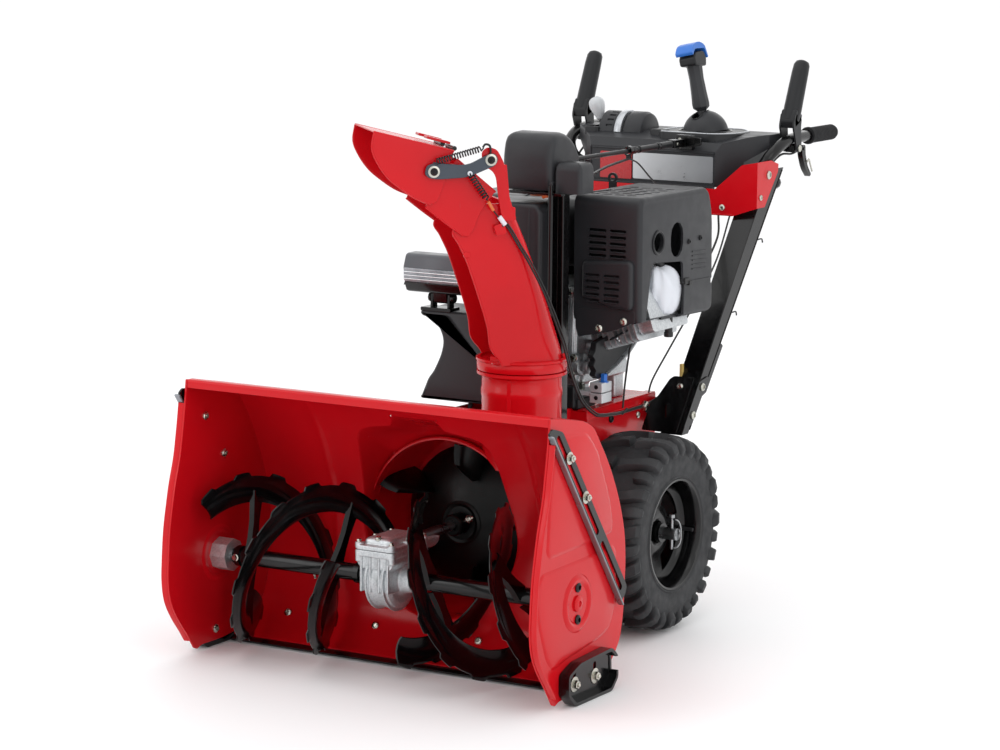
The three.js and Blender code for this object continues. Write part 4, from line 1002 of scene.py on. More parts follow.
def make_gearbox():
    """A cast case split at the worm's height, with a domed cover and corner bolts."""
    y, z = AUGER_Y, AUGER_Z
    wheel_case = lathe([(0.01, -30), (46, -30), (56, -25), (59, -18), (59, 18), (56, 25), (46, 30),
                        (0.01, 30)], "X", (y, z), 56)
    ends = lathe([(14, -56), (22, -56), (25, -53), (27, -34), (40, -26), (40, 26), (27, 34), (25, 53),
                  (22, 56), (14, 56)], "X", (y, z), 40)
    long_tube = lathe([(11, 150), (30, 150), (30, 166), (26, 176), (24, 226), (27, 230), (27, 238),
                       (11, 238)], "Y", (0, DRUM_Z), 40)
    nose = lathe([(0.01, 48), (30, 48), (32, 51), (32, 170), (0.01, 170)], "Y", (0, DRUM_Z), 40)
    apron = prism(rounded([(-42, 238), (-42, 226), (-34, 214), (34, 214), (42, 226), (42, 238)],
                          4), 44, 160, "XZ")
    flange_low = prism(rounded_box(-44, 44, 38, 170, 12), DRUM_Z - 12, DRUM_Z - 0.4,
                       "XY")
    ribs = joined([block(x - 2.5, x + 2.5, y - 62, y + 66, z - 20, DRUM_Z - 6) for x in (-30, -10, 10, 30)])
    belly = joined([lathe([(57, c - 3), (64, c - 2), (64, c + 2), (57, c + 3)], "X", (y, z), 64)
                    for c in (-19, 19)])
    pads = joined([rod((sx * 37, sy, DRUM_Z - 24), (sx * 37, sy, DRUM_Z - 1), 7.5)
                   for sx in (-1, 1) for sy in (46, 104, 162)])
    web = joined([block(30, 54, y - 4, y + 4, z - 3, z + 3), block(-54, -30, y - 4, y + 4, z - 3, z + 3)])
    case = joined([wheel_case, ends, long_tube, nose, apron, flange_low, ribs, belly, pads, web])
    piece("gearbox_case_casting", case, CAST, "machine", remesh=1.4, ease=3,
          cuts=block(-90, 90, 0, 300, DRUM_Z - 0.4, 400), replaces=["gearbox_case"])
    flange_top = prism(rounded_box(-44, 44, 38, 170, 12), DRUM_Z + 0.4, DRUM_Z + 9,
                       "XY")
    dome = loft([[(p.x, p.y, DRUM_Z + h) for p in rounded(grown([(-31, 52), (31, 52), (31, 158), (-31, 158)],
                 -inset), 10)] for inset, h in ((0, 5), (0, 14), (2, 19), (6, 22))])
    plate = prism(rounded_box(-16, 16, 70, 140, 5), DRUM_Z + 20, DRUM_Z + 24, "XY")
    top_pads = joined([rod((sx * 37, sy, DRUM_Z + 2), (sx * 37, sy, DRUM_Z + 14), 7.8)
                       for sx in (-1, 1) for sy in (46, 104, 162)])
    piece("gearbox_cover_casting", joined([flange_top, dome, plate, top_pads]), CAST, "machine", remesh=1.4,
          ease=3, replaces=["gearbox_cover"])
    bolts = joined([bolt((sx * 37, sy, DRUM_Z + 13.5), (0, 0, 1), 8, 5.5, 1.2)
                    for sx in (-1, 1) for sy in (46, 104, 162)])
    plug = bolt((0, 58, DRUM_Z + 20), (0, -0.3, 1), 10, 6, 1.2)
    piece("gearbox_bolts", bolts + plug, ZINC, "machine")
    seals = joined([lathe([(13, s * 55), (21, s * 55), (21, s * 58.5), (13, s * 59.5)], "X", (y, z), 40)
                    for s in (-1, 1)])
    piece("gearbox_seals", seals, RUBBER, "machine")


def make_impeller():
    """A dished back with five curved paddles on a hub, keyed to the shaft."""
    back = 418.0
    cone = lathe([(21, back - 58), (34, back - 58), (44, back - 54), (80, back - 44), (120, back - 28),
                  (148, back - 10), (151, back - 6), (148, back - 3), (118, back - 22), (78, back - 38),
                  (42, back - 48), (21, back - 52)], "Y", (0, DRUM_Z), 96)
    hub = lathe([(10.6, back - 92), (19, back - 92), (22, back - 89), (22, back - 54), (28, back - 52),
                 (28, back - 4), (10.6, back - 4)], "Y", (0, DRUM_Z), 48)
    step = lathe([(34, back - 59), (40, back - 61), (45, back - 58), (40, back - 54)], "Y", (0, DRUM_Z), 64)
    paddles = []
    for i in range(5):
        section = [(0, 410), (0, 380), (-1, 350), (-5, 326), (-13, 311), (-26, 306)]
        rows = []
        for share in (0.0, 0.1, 0.25, 0.5, 0.75, 0.95, 1.0):
            reach = 92 + (168 - 92) * share
            lean = -10 * share * share
            curl = min(1.0, 0.15 + share * 1.3)
            rows.append([(lean + x * curl, 410 + (y - 410) * (0.45 + 0.55 * min(1, share * 2.2)), reach)
                         for x, y in curve(section, 4)])
        paddles.append(surface(rows).turned(18 + i * 72, "Y").shifted(0, 0, DRUM_Z))
    piece("impeller_paddles", joined(paddles), DISH, "impeller_assembly", thick=4.6, sharp=40)
    piece("impeller_dish", joined([cone, hub, step]), DISH, "impeller_assembly", sharp=35,
          replaces=["impeller"])
    pin = rod((-32, back - 72, DRUM_Z), (34, back - 72, DRUM_Z), 4.0)
    nuts = joined([bolt((30, back - 72, DRUM_Z), (1, 0, 0), 11, 7, 1.4, 4),
                   bolt((-29, back - 72, DRUM_Z), (-1, 0, 0), 11, 7, 1.4)])
    piece("impeller_bolts", joined([pin, nuts]).turned(-25, "Y", (0, 0, DRUM_Z)), ZINC, "impeller_assembly")
    keep("impeller_pulley", STEEL, 0.5)
    keep("auger_belt", RUBBER, 0.4)


# ---------------------------------------------------------------- wheels
WHEEL_MID = (WHEEL_IN + WHEEL_OUT) / 2
CARCASS = [(112, 66), (111.6, 71), (115, 75.5), (119, 77.5), (121.5, 75.5), (125, 75.8), (136, 76.2),
           (150, 77.6), (163, 77), (173, 73.5), (180, 66), (184.5, 52), (186.2, 34), (187, 16), (187.2, 0)]
LUGS = 15


def around_wheel(r, dx, degrees):
    """The machine point at a radius, an offset along the axle and an angle round the wheel."""
    a = math.radians(degrees)
    return (WHEEL_MID + dx, WHEEL_Y + r * math.cos(a), WHEEL_Z + r * math.sin(a))


def lug(degrees, side, stations, widths, heights, shifts):
    """A rubber block that follows the carcass from its side towards the crown."""
    line = [Vector(p) for p in CARCASS[7:]]
    rings = []
    for place, width, height, shift in zip(stations, widths, heights, shifts):
        at = place * (len(line) - 1)
        i = min(int(at), len(line) - 2)
        p = line[i].lerp(line[i + 1], at - i)
        along = (line[i + 1] - line[i]).normalized()
        out = Vector((-along.y, along.x)) if along.x > 0 and -along.y > 0 else Vector((1, 0))
        out = Vector((abs(out.x), abs(out.y))).normalized()
        section = [(-width - 2, -1.5), (-width, height - 1.8), (-width + 2, height), (width - 2, height),
                   (width, height - 1.8), (width + 2, -1.5)]
        ring = []
        for lateral, lift in section:
            q = p + out * lift
            r = min(q.x, WHEEL_R - 0.3)
            ring.append(around_wheel(r, q.y * side, degrees + math.degrees((lateral + shift) / r)))
        rings.append(ring)
    return loft(rings)


def make_wheel(side, turn_over):
    """One wheel: a lugged tyre, a pressed rim with four windows, the axle's end and its clip pin."""
    body = "wheel_" + side
    profile = CARCASS + [(r, -dx) for r, dx in reversed(CARCASS[:-1])]
    ring = [(r, WHEEL_MID + dx) for r, dx in profile] + [(121, WHEEL_MID - 60), (150, WHEEL_MID - 69),
                                                        (176, WHEEL_MID - 50), (181, WHEEL_MID),
                                                        (176, WHEEL_MID + 50), (150, WHEEL_MID + 69),
                                                        (121, WHEEL_MID + 60)]
    parts = [lathe(ring, "X", (WHEEL_Y, WHEEL_Z), 120)]
    pitch = 360 / LUGS
    for i in range(LUGS):
        for hand, start in ((1, 0.0), (-1, 0.5)):
            at = (i + start) * pitch
            parts.append(lug(at, hand, (0.1, 0.24, 0.36, 0.47, 0.62, 0.8, 0.93),
                             (10, 11.5, 12, 12, 11, 9, 13), (0.4, 10, 15, 15.6, 15.6, 15.6, 15.6),
                             [k * hand for k in (-3, 0, 2, 6, 13, 20, 24)]))
            parts.append(lug(at + pitch * 0.5, hand, (0.12, 0.26, 0.38, 0.46, 0.55, 0.6),
                             (7, 9, 10, 11, 11, 9), (0.3, 8, 13, 15.6, 15.6, 13),
                             [k * hand for k in (-2, 0, 2, 4, 6, 7)]))
    piece("tyre_tread_" + side, turn_over(joined(parts)), TYRE, body, sharp=38, replaces=["tyre_" + side])
    lip = [(111, 164), (111, 302), (115, 305.5), (116.5, 308.5), (114.5, 311), (110, 310), (106.5, 305),
           (104.5, 297), (103, 288), (101.5, 279), (97, 271), (90, 266.5), (60, 263), (50, 264.5),
           (44, 267), (37, 269), (29, 269), (24, 267), (22, 264), (20, 262), (20, 280), (13.4, 280),
           (13.4, 206), (20, 206), (20, 258), (44, 259), (52, 260), (92, 262), (99, 268), (101, 281),
           (106, 298), (107, 164)]
    windows = []
    for k in range(4):
        middle = 45 + 90 * k
        kidney = arc((0, 0), 89, middle - 28, middle + 28, 12) + arc((0, 0), 56, middle + 22, middle - 22, 8)
        windows.append(prism([(WHEEL_Y + a, WHEEL_Z + b) for a, b in rounded(kidney, 7)], 240, 285))
    piece("rim_pressing_" + side, turn_over(lathe(lip, "X", (WHEEL_Y, WHEEL_Z), 96)), BLACK, body,
          cuts=turn_over(joined(windows)), sharp=32, replaces=["rim_" + side])
    end = lathe([(0.01, 240), (12.5, 240), (12.5, 311), (11, 313), (0.01, 313)], "X", (WHEEL_Y, WHEEL_Z), 32)
    bail = [(303, 0, 30), (309, 0, 30), (314, 3, 26), (316, 8, 14), (316, 9, 0), (316, 8, -14), (313, 3, -25),
            (306, 0, -29), (300, 0, -29)]
    clip = tube(curve([(x, WHEEL_Y + y, WHEEL_Z + z) for x, y, z in bail], 6), 1.7, 8)
    pin = rod((300, WHEEL_Y, WHEEL_Z - 32), (300, WHEEL_Y, WHEEL_Z + 34), 3.2)
    head = rod((300, WHEEL_Y, WHEEL_Z + 33), (300, WHEEL_Y, WHEEL_Z + 40), 6.0)
    piece("axle_end_" + side, turn_over(joined([end, clip, pin, head])), STEEL, body)
    stem = lathe([(0.01, 268), (6, 268), (5.2, 276), (3.6, 288), (3.9, 290), (3.9, 300), (0.01, 301)], "X",
                 (WHEEL_Y + 94, WHEEL_Z - 8), 16)
    piece("valve_" + side, turn_over(stem), RUBBER, body)
    keep("axle_" + side, STEEL, 0.8)


# ---------------------------------------------------------------- chute
BACK_EDGE = [(592, -80), (629, -68), (704, -40), (791, -4), (857, 24), (884, 36), (908, 50)]
FRONT_EDGE = [(592, 60), (604, 66), (617, 77), (632, 85), (664, 89), (687, 95), (722, 106), (761, 119),
              (800, 133), (831, 148), (856, 160), (884, 130), (908, 96)]
CHUTE_HALF = 78.0


def on_chute(shape):
    """A shape in the chute's own frame, put where the chute stands."""
    return shape.turned(CHUTE_TURN, "Z").shifted(CHUTE_X, CHUTE_Y, 0)


def chute_point(u, v, z):
    """One point of the chute's own frame, as a machine point."""
    return on_chute(Shape([(u, v, z)])).points[0]


def chute_read(line, height):
    """The value of a (height, value) line at a height."""
    for a, b in zip(line, line[1:]):
        if height <= b.x:
            return a.y + (b.y - a.y) * (height - a.x) / (b.x - a.x)
    return line[-1].y


def chute_wall():
    """The chute's bent sheet: open in front, round behind, and squarer towards its top."""
    back_line, front_line = curve(BACK_EDGE, 6), curve(FRONT_EDGE, 6)
    rows = []
    for i in range(41):
        z = 592 + (908 - 592) * i / 40
        back, front = chute_read(back_line, z), chute_read(front_line, z)
        round_by = CHUTE_HALF + (22 - CHUTE_HALF) * min(1.0, max(0.0, (z - 600) / 230))
        round_by = min(round_by, CHUTE_HALF - 1)
        side = [(front, CHUTE_HALF + 0.6), (front - 3, CHUTE_HALF + 0.6)]
        start = back + round_by
        side += [(front - 3 + (start - front + 3) * k / 6, CHUTE_HALF) for k in range(1, 6)]
        corner = [(start + round_by * math.cos(math.radians(a)), CHUTE_HALF - round_by
                   + round_by * math.sin(math.radians(a))) for a in range(90, 181, 9)]
        half = side + corner
        middle = [(back - 0.4, CHUTE_HALF - round_by - (CHUTE_HALF - round_by) * k / 3) for k in (1, 2)]
        whole = half + middle + [(u, -v) for u, v in reversed(half + middle)]
        rows.append([(u, v, z) for u, v in whole])
    return surface(rows)


def edge_line(points, v, radius=2.1):
    """A rolled edge along a line of (u, z) points."""
    return tube([(u, v, z) for u, z in points], radius, 8)


def make_chute():
    """The chute with its collar and mast, and the parts that it carries."""
    front = [(p.y, p.x) for p in curve(FRONT_EDGE, 6)]
    rolls = joined([edge_line(front, s * (CHUTE_HALF + 1.4)) for s in (1, -1)])
    piece("chute_sheet", on_chute(chute_wall()), RED, "chute", thick=2.5, sharp=45, replaces=["chute"])
    piece("chute_rolled_edges", on_chute(rolls), RED, "chute")
    collar = lathe([(76, 573.4), (88, 573.4), (89, 575), (89, 589), (88, 591), (91, 593), (91, 597),
                    (86, 598.5), (82, 598), (80, 592), (76, 590)], sides=96)
    clips = []
    for k in range(3):
        a = math.radians(38 + 120 * k)
        clip = prism(rounded_box(-11, 11, 595, 606, 3), 82, 88, "YZ")
        clips.append(clip.turned(math.degrees(a), "Z"))
    piece("chute_collar", on_chute(joined([collar] + clips)), RED, "chute", sharp=38)
    shelf = prism(rounded([(40, -60), (74, -66), (80, 0), (74, 66), (40, 60), (52, 0)], 8), 592, 594.5, "XY")
    rib = tube(curve([(20 + k * 0.33 * (z - 600), -CHUTE_HALF + 4, z) for k, z in
                      ((1, 612), (1, 700), (0.95, 780), (0.9, 850))], 8), 4.0, 8)
    bump = prism(rounded([(-7, -6), (8, -4), (6, 6), (-6, 5)], 3), CHUTE_HALF, CHUTE_HALF + 4, "XZ").shifted(
        132, 0, 810)
    piece("chute_details", on_chute(joined([shelf, rib, bump])), RED, "chute", bevel=0.6)
    mast = rounded([(38, 880), (66, 880), (74, 918), (80, 968), (106, 984), (108, 1010), (96, 1018),
                    (78, 1014), (62, 986), (54, 918)], [2, 4, 20, 16, 8, 8, 5, 8, 16, 30])
    mast_face = prism(mast, CHUTE_HALF + 11, CHUTE_HALF + 13.6, "XZ")
    mast_web = prism(rounded([(40, 882), (46, 882), (60, 920), (66, 984), (58, 984), (52, 922)], 3),
                     CHUTE_HALF + 2, CHUTE_HALF + 13, "XZ")
    foot = prism(rounded_box(40, 66, 876, 902, 4), CHUTE_HALF - 1, CHUTE_HALF + 13, "XZ")
    tab = prism(rounded([(56, 852), (76, 846), (82, 866), (62, 872)], 4), CHUTE_HALF - 1,
                CHUTE_HALF + 12, "XZ")
    piece("chute_mast", on_chute(joined([mast_face, mast_web, foot, tab])), RED, "chute", bevel=0.7)
    hook = tube(curve([(92, 92, 1000), (92, 98, 1012), (95, 100, 1022), (103, 100, 1024),
                       (108, 100, 1018)], 6),
                2.2, 8)
    piece("mast_hook", on_chute(hook), COIL, "chute")
    make_deflector("lower_deflector", LOWER, LOWER_TOP, CHUTE_HALF + 4, LOWER_RADII, LOWER_EDGE)
    make_deflector("hood", HOOD, HOOD_TOP, CHUTE_HALF + 8, HOOD_RADII, HOOD_EDGE)
    hood_bar = prism(rounded([(160, 1020), (206, 1032), (205, 1037), (159, 1025)], 1.5), 22, 50, "XZ")
    nub = lathe([(0.01, 18), (4.6, 18), (4.6, 78), (0.01, 78)], "Y", (158, 1015), 16)
    piece("hood_stiffener", on_chute(joined([hood_bar, hood_bar.shifted(0, -72, 0)])), RED, "hood", bevel=0.8)
    piece("hood_hinge_barrel", on_chute(joined([nub, nub.shifted(0, -96, 0)])), BLACK, "hood", sharp=35)
    make_linkage()


LOWER = [(216, 904), (142, 848), (132, 845), (120, 860), (112, 884), (98, 908), (78, 932), (116, 964),
         (154, 996), (190, 960)]
LOWER_RADII = [4, 6, 8, 14, 20, 20, 6, 6, 6, 20]
LOWER_TOP = [(78, 932), (116, 964), (154, 996)]
LOWER_EDGE = [(216, 904), (180, 876), (142, 848)]
HOOD = [(318, 1051), (322, 1018), (311, 991), (291, 963), (264, 940), (237, 922), (206, 909), (194, 914),
        (184, 938), (178, 958), (161, 1012)]
HOOD_RADII = [3, 12, 20, 20, 20, 20, 10, 8, 16, 20, 5]
HOOD_TOP = [(161, 1012), (240, 1032), (318, 1051)]
HOOD_EDGE = [(317, 1049), (321, 1018), (310, 990), (290, 962), (264, 940), (237, 922), (206, 909)]


def make_deflector(name, outline, top, half, radii, edge):
    """Two side plates and a top sheet folded from one blank, with a rolled lower edge."""
    shape = rounded(outline, radii)
    sides = [prism(shape, half, half + 2.5, "XZ"), prism(shape, -half - 2.5, -half, "XZ")]
    line = [Vector(p) for p in top]
    across = (line[-1] - line[0]).normalized()
    down = Vector((across.y, -across.x)) * 2.5
    sheet_outline = line + [p + down for p in reversed(line)]
    body_parts = sides + [prism(sheet_outline, -half - 2.4, half + 2.4, "XZ")]
    piece(name + "_sheet", on_chute(joined(body_parts)), RED, name, bevel=1.1, segments=3, replaces=[name])
    rolls = [edge_line(curve(edge, 5), s * (half + 1.6), 1.9) for s in (1, -1)]
    start, end = Vector(top[0]), Vector(top[-1])
    folds = [tube([(start.x, s * (half + 0.4), start.y - 1.6),
                   (end.x, s * (half + 0.4), end.y - 1.6)], 2.4, 8)
             for s in (1, -1)]
    piece(name + "_edges", on_chute(joined(rolls + folds)), RED, name)


def make_linkage():
    """The grey bar from the mast to the hood, its pivots and the two springs."""
    bar = rounded([(217, 985), (221, 968), (211, 960), (192, 958), (136, 961), (82, 983), (76, 996),
                   (84, 1007), (96, 1005), (138, 984), (200, 990)], [6, 6, 5, 8, 16, 10, 8, 9, 8, 16, 8])
    v = CHUTE_HALF + 16
    piece("link_bar", on_chute(prism(bar, v, v + 4.2, "XZ")), LINK, "link_arm", bevel=1.0,
          replaces=["link_arm"])
    washers, nuts = [], []
    for u, z in ((203, 973), (91, 994)):
        washers.append(lathe([(0.01, v + 4), (11.5, v + 4), (11.5, v + 6), (10, v + 6.6), (0.01, v + 6.6)],
                             "Y", (u, z), 40))
        nuts.append(bolt((u, v + 6.4, z), (0, 1, 0), 11, 5, 1.25, 2))
    piece("link_washers", on_chute(joined(washers)), ZINC, "link_arm", sharp=35)
    piece("link_nuts", on_chute(joined(nuts)), DARK_STEEL, "link_arm")
    top = spring(chute_point(206, 104, 991), chute_point(106, 98, 1017), 5.2, 1.5, 17, tail=7)
    far = spring(chute_point(133, 104, 968), chute_point(97, 96, 917), 5.6, 1.5, 9, tail=4)
    for name, shape, ends in (("hood_spring", top, ((106, 98, 1017), (206, 104, 991))),
                              ("cable_spring", far, ((97, 96, 917), (133, 104, 968)))):
        obj = piece(name, shape, COIL, "chute", sharp=60)
        obj.parent = None
        del obj["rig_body"]
        start, end = (Vector(chute_point(*p)) for p in ends)
        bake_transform(obj)
    eye = joined([lathe([(1.5, v + 4.4), (4.6, v + 4.4), (4.6, v + 9), (1.5, v + 9)], "Y", (133, 969), 24)])
    piece("spring_eye", on_chute(eye), WHITE, "link_arm", sharp=35)
    sleeve = rod(chute_point(95, 95, 914), chute_point(84, 92, 896), 3.1, 16)
    wire = tube(curve([chute_point(*p) for p in ((84, 92, 896), (76, 91, 886), (68, 91, 877), (64, 90, 864))],
                      6), 1.3, 8)
    white = rod(chute_point(72, 91, 884), chute_point(60, 91, 868), 4.6, 16)
    piece("cable_sleeve", sleeve, ORANGE, "chute")
    piece("cable_wire", wire, COIL, "chute")
    piece("cable_clip", white, WHITE, "chute")


CABLE_ON_CHUTE = [(60, 88, 870), (50, 88, 856), (32, 88, 826), (12, 88, 794), (-22, 88, 728), (-56, 90, 640)]
CABLE_ON_MACHINE = [(226, 402, 564), (214, 468, 500), (200, 545, 462), (186, 600, 450), (172, 652, 442),
                    (150, 740, 431), (147, 811, 430), (147, 857, 431), (149, 890, 436), (162, 914, 445),
                    (186, 925, 454), (208, 925, 460)]


def make_chute_cable():
    """The deflector's cable: clipped to the chute, then along the frame's side and through a clamp."""
    lower = [Vector(p) for p in CABLE_ON_MACHINE]
    for name, shift in (("deflector_cable_line", 0.0), ("deflector_cable_twin", 5.0)):
        upper = [chute_point(u - shift, v, z) for u, v, z in CABLE_ON_CHUTE]
        path = curve(upper + [p + Vector((0, shift, shift * 0.6)) for p in lower], 8)
        obj = piece(name, tube(path, 1.7 if shift else 2.2, 10), CABLE, "chute", sharp=60,
                    replaces=["deflector_cable"] if not shift else ())
        obj.parent = None
        del obj["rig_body"]
        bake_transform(obj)
    clamp = joined([rod((147, 850, 426), (147, 863, 436), 7.5, 16), screw((141, 838, 414), (1, 0, 0), 7, 4)])
    piece("cable_clamp", clamp, ZINC, "machine")


# ---------------------------------------------------------------- engine
def hollow_block(outline, low, high, wall, edge, steps=5):
    """A block with a rounded high edge, and the core that hollows it out through its open low side."""
    rings = [[(low, p.x, p.y) for p in outline]]
    for k in range(steps + 1):
        a = math.pi / 2 * k / steps
        inset, rise = edge * (1 - math.cos(a)), edge * math.sin(a)
        rings.append([(high - edge + rise, p.x, p.y) for p in grown(outline, -inset)])
    past_opening = 30
    return loft(rings), prism(grown(outline, -wall), low - past_opening, high - wall)


def make_engine_cover():
    """The engine's louvred plastic cover with its panel and fixings, the pouch and the lifting eye."""
    side = rounded([(603, 640), (601, 896), (900, 896), (920, 840), (926, 634)], [14, 22, 24, 30, 24])
    outer, core = hollow_block(side, 116, 268, 5, 10)
    slope = prism([(105, 606), (105, 604), (292, 652), (292, 606)], 590, 720, "XZ")
    cuts = []
    for row_z in (827, 814, 801, 788, 776):
        for x0, x1 in ((149, 190), (197, 235)):
            cuts.append(prism(slot(((x0 + x1) / 2, row_z), x1 - x0, 6.0), 590, 612, "XZ"))
    cuts.append(prism(circle((676, 801), 23, 32), 255, 280))
    cuts.append(prism(slot((758, 799), 72, 54, 90), 255, 280))
    cuts.append(prism(rounded([(652, 764), (700, 758), (786, 752), (788, 718), (796, 700), (790, 640),
                               (700, 600), (622, 612)], [14, 20, 10, 10, 10, 6, 4, 6]), 255, 280))
    for gx in range(4):
        for gy in range(6):
            hole = slot((142 + gx * 28 + gy * 1.5, 640 + gy * 30), 21, 12, 18)
            cuts.append(prism(hole, 880, 905, "XY"))
    cuts.append(prism(slot((128, 690), 74, 10, 82), 880, 905, "XY"))
    cuts.append(prism(rounded([(912, 694), (940, 690), (940, 708), (912, 704)], 2), 250, 280))
    piece("engine_cover_shell", outer, PLASTIC, "machine", bevel=1.1, cuts=[core, slope, joined(cuts)],
          replaces=["engine_cover"], sharp=32)
    panel_outline = rounded([(138, 688), (138, 764), (254, 770), (254, 668), (206, 672)], [10, 12, 14, 16, 6])
    rings = []
    for inset, lift in ((0, 1.0), (0, -3.0), (1.5, -7.0), (5, -9.5), (9, -10.0)):
        rings.append([(p.x, 602 + lift, p.y) for p in grown(panel_outline, -inset)])
    louvres = []
    for row_z in (737, 724, 711, 698, 686):
        for x0, x1 in ((147, 181), (190, 226)):
            louvres.append(prism(slot(((x0 + x1) / 2, row_z), x1 - x0, 5.6), 585, 604, "XZ"))
    piece("cover_front_panel", loft(rings), PLASTIC, "machine", cuts=joined(louvres), sharp=40)
    lips = []
    for row_z in (827, 814, 801, 788, 776):
        for x0, x1 in ((149, 190), (197, 235)):
            lips.append(tube([(x0 + 4, 600.5, row_z - 3.4), (x1 - 4, 600.5, row_z - 3.4)], 1.5, 8))
    for row_z in (737, 724, 711, 698, 686):
        for x0, x1 in ((147, 181), (190, 226)):
            lips.append(tube([(x0 + 4, 591.5, row_z - 3.2), (x1 - 4, 591.5, row_z - 3.2)], 1.4, 8))
    ribs = [tube([(268.2, 826, 768 - k * 9), (268.2, 886, 765 - k * 9)], 1.5, 8) for k in range(5)]
    seam = [tube([(268.3, 786, 708), (268.3, 905, 706)], 1.4, 8),
            tube([(268.3, 792, 706), (268.3, 790, 640)], 1.4, 8)]
    piece("cover_ribs", joined(lips + ribs + seam), PLASTIC, "machine", sharp=60)
    flap = prism(rounded([(121, 668), (121, 626), (127, 607), (208, 625), (256, 645), (256, 668)], 4),
                 602.2, 606.2, "XZ")
    piece("cover_front_flap", flap, PLASTIC, "machine", bevel=1.0)
    inside = joined([block(125, 250, 628, 634, 650, 880), block(130, 240, 650, 655, 650, 860)])
    piece("cover_baffle", inside, FINE_PLASTIC, "machine", bevel=1.0)
    screws = [screw((176, 602, 628), (0, -1, 0.05), 8, 5), screw((232, 602, 646), (0, -1, 0.05), 8, 5)]
    piece("cover_screws", joined(screws), ZINC, "machine")
    dark = [screw((268.5, 810, 790), (1, 0, 0), 5.5, 3), screw((268.5, 861, 793), (1, 0, 0), 5.5, 3)]
    piece("cover_side_screws", joined(dark), DARK_STEEL, "machine")
    grommet = lathe([(20, 262), (23.5, 262), (25.5, 265), (25.5, 269.5), (23, 271), (20, 270)],
                    "X", (676, 801), 40)
    clip = joined([block(258, 272, 790, 812, 703, 716), block(262, 274, 806, 820, 700, 710)])
    piece("cover_grommet", grommet, FINE_PLASTIC, "machine", sharp=35)
    piece("cover_clip", clip, CABLE, "machine", bevel=1.6)
    pouch_line = [(0.3, 745, 742), (0.62, 741, 752), (0.84, 728, 764), (0.97, 710, 774), (1.03, 690, 781),
                  (0.98, 670, 783), (0.84, 653, 780), (0.6, 641, 774), (0.25, 637, 770)]
    rings = []
    for share, z, y in pouch_line:
        ring = []
        for k in range(48):
            a = 2 * math.pi * k / 48
            fold = math.sin(7 * a + 1.4 * math.sin(z * 0.05)) * 0.085 + 0.04 * math.sin(12 * a - z * 0.09)
            pleat = 1 + fold * min(1.0, abs(z - 690) / 34 + 0.35)
            ring.append((234 + 26 * share * math.cos(a) * pleat, y + 58 * share * math.sin(a) * pleat,
                         z + 2.4 * math.sin(4 * a)))
        rings.append(ring)
    piece("primer_pouch", loft(rings), WHITE, "machine", sub=1, sharp=80)
    neck = tube(curve([(232, 690, 748), (240, 712, 762), (236, 742, 752), (232, 764, 726), (234, 770, 690),
                       (232, 772, 655)], 6), 9.5, 16)
    piece("pouch_neck", neck, CABLE, "machine", sharp=60)
    eye = lathe([(6, -3), (11, -3), (11, 3), (6, 3)], "Y", (78, 908), 28)
    piece("lifting_eye", joined([eye.shifted(0, 830, 0), block(70, 86, 826, 834, 880, 900)]), DARK_STEEL,
          "machine", bevel=0.8)


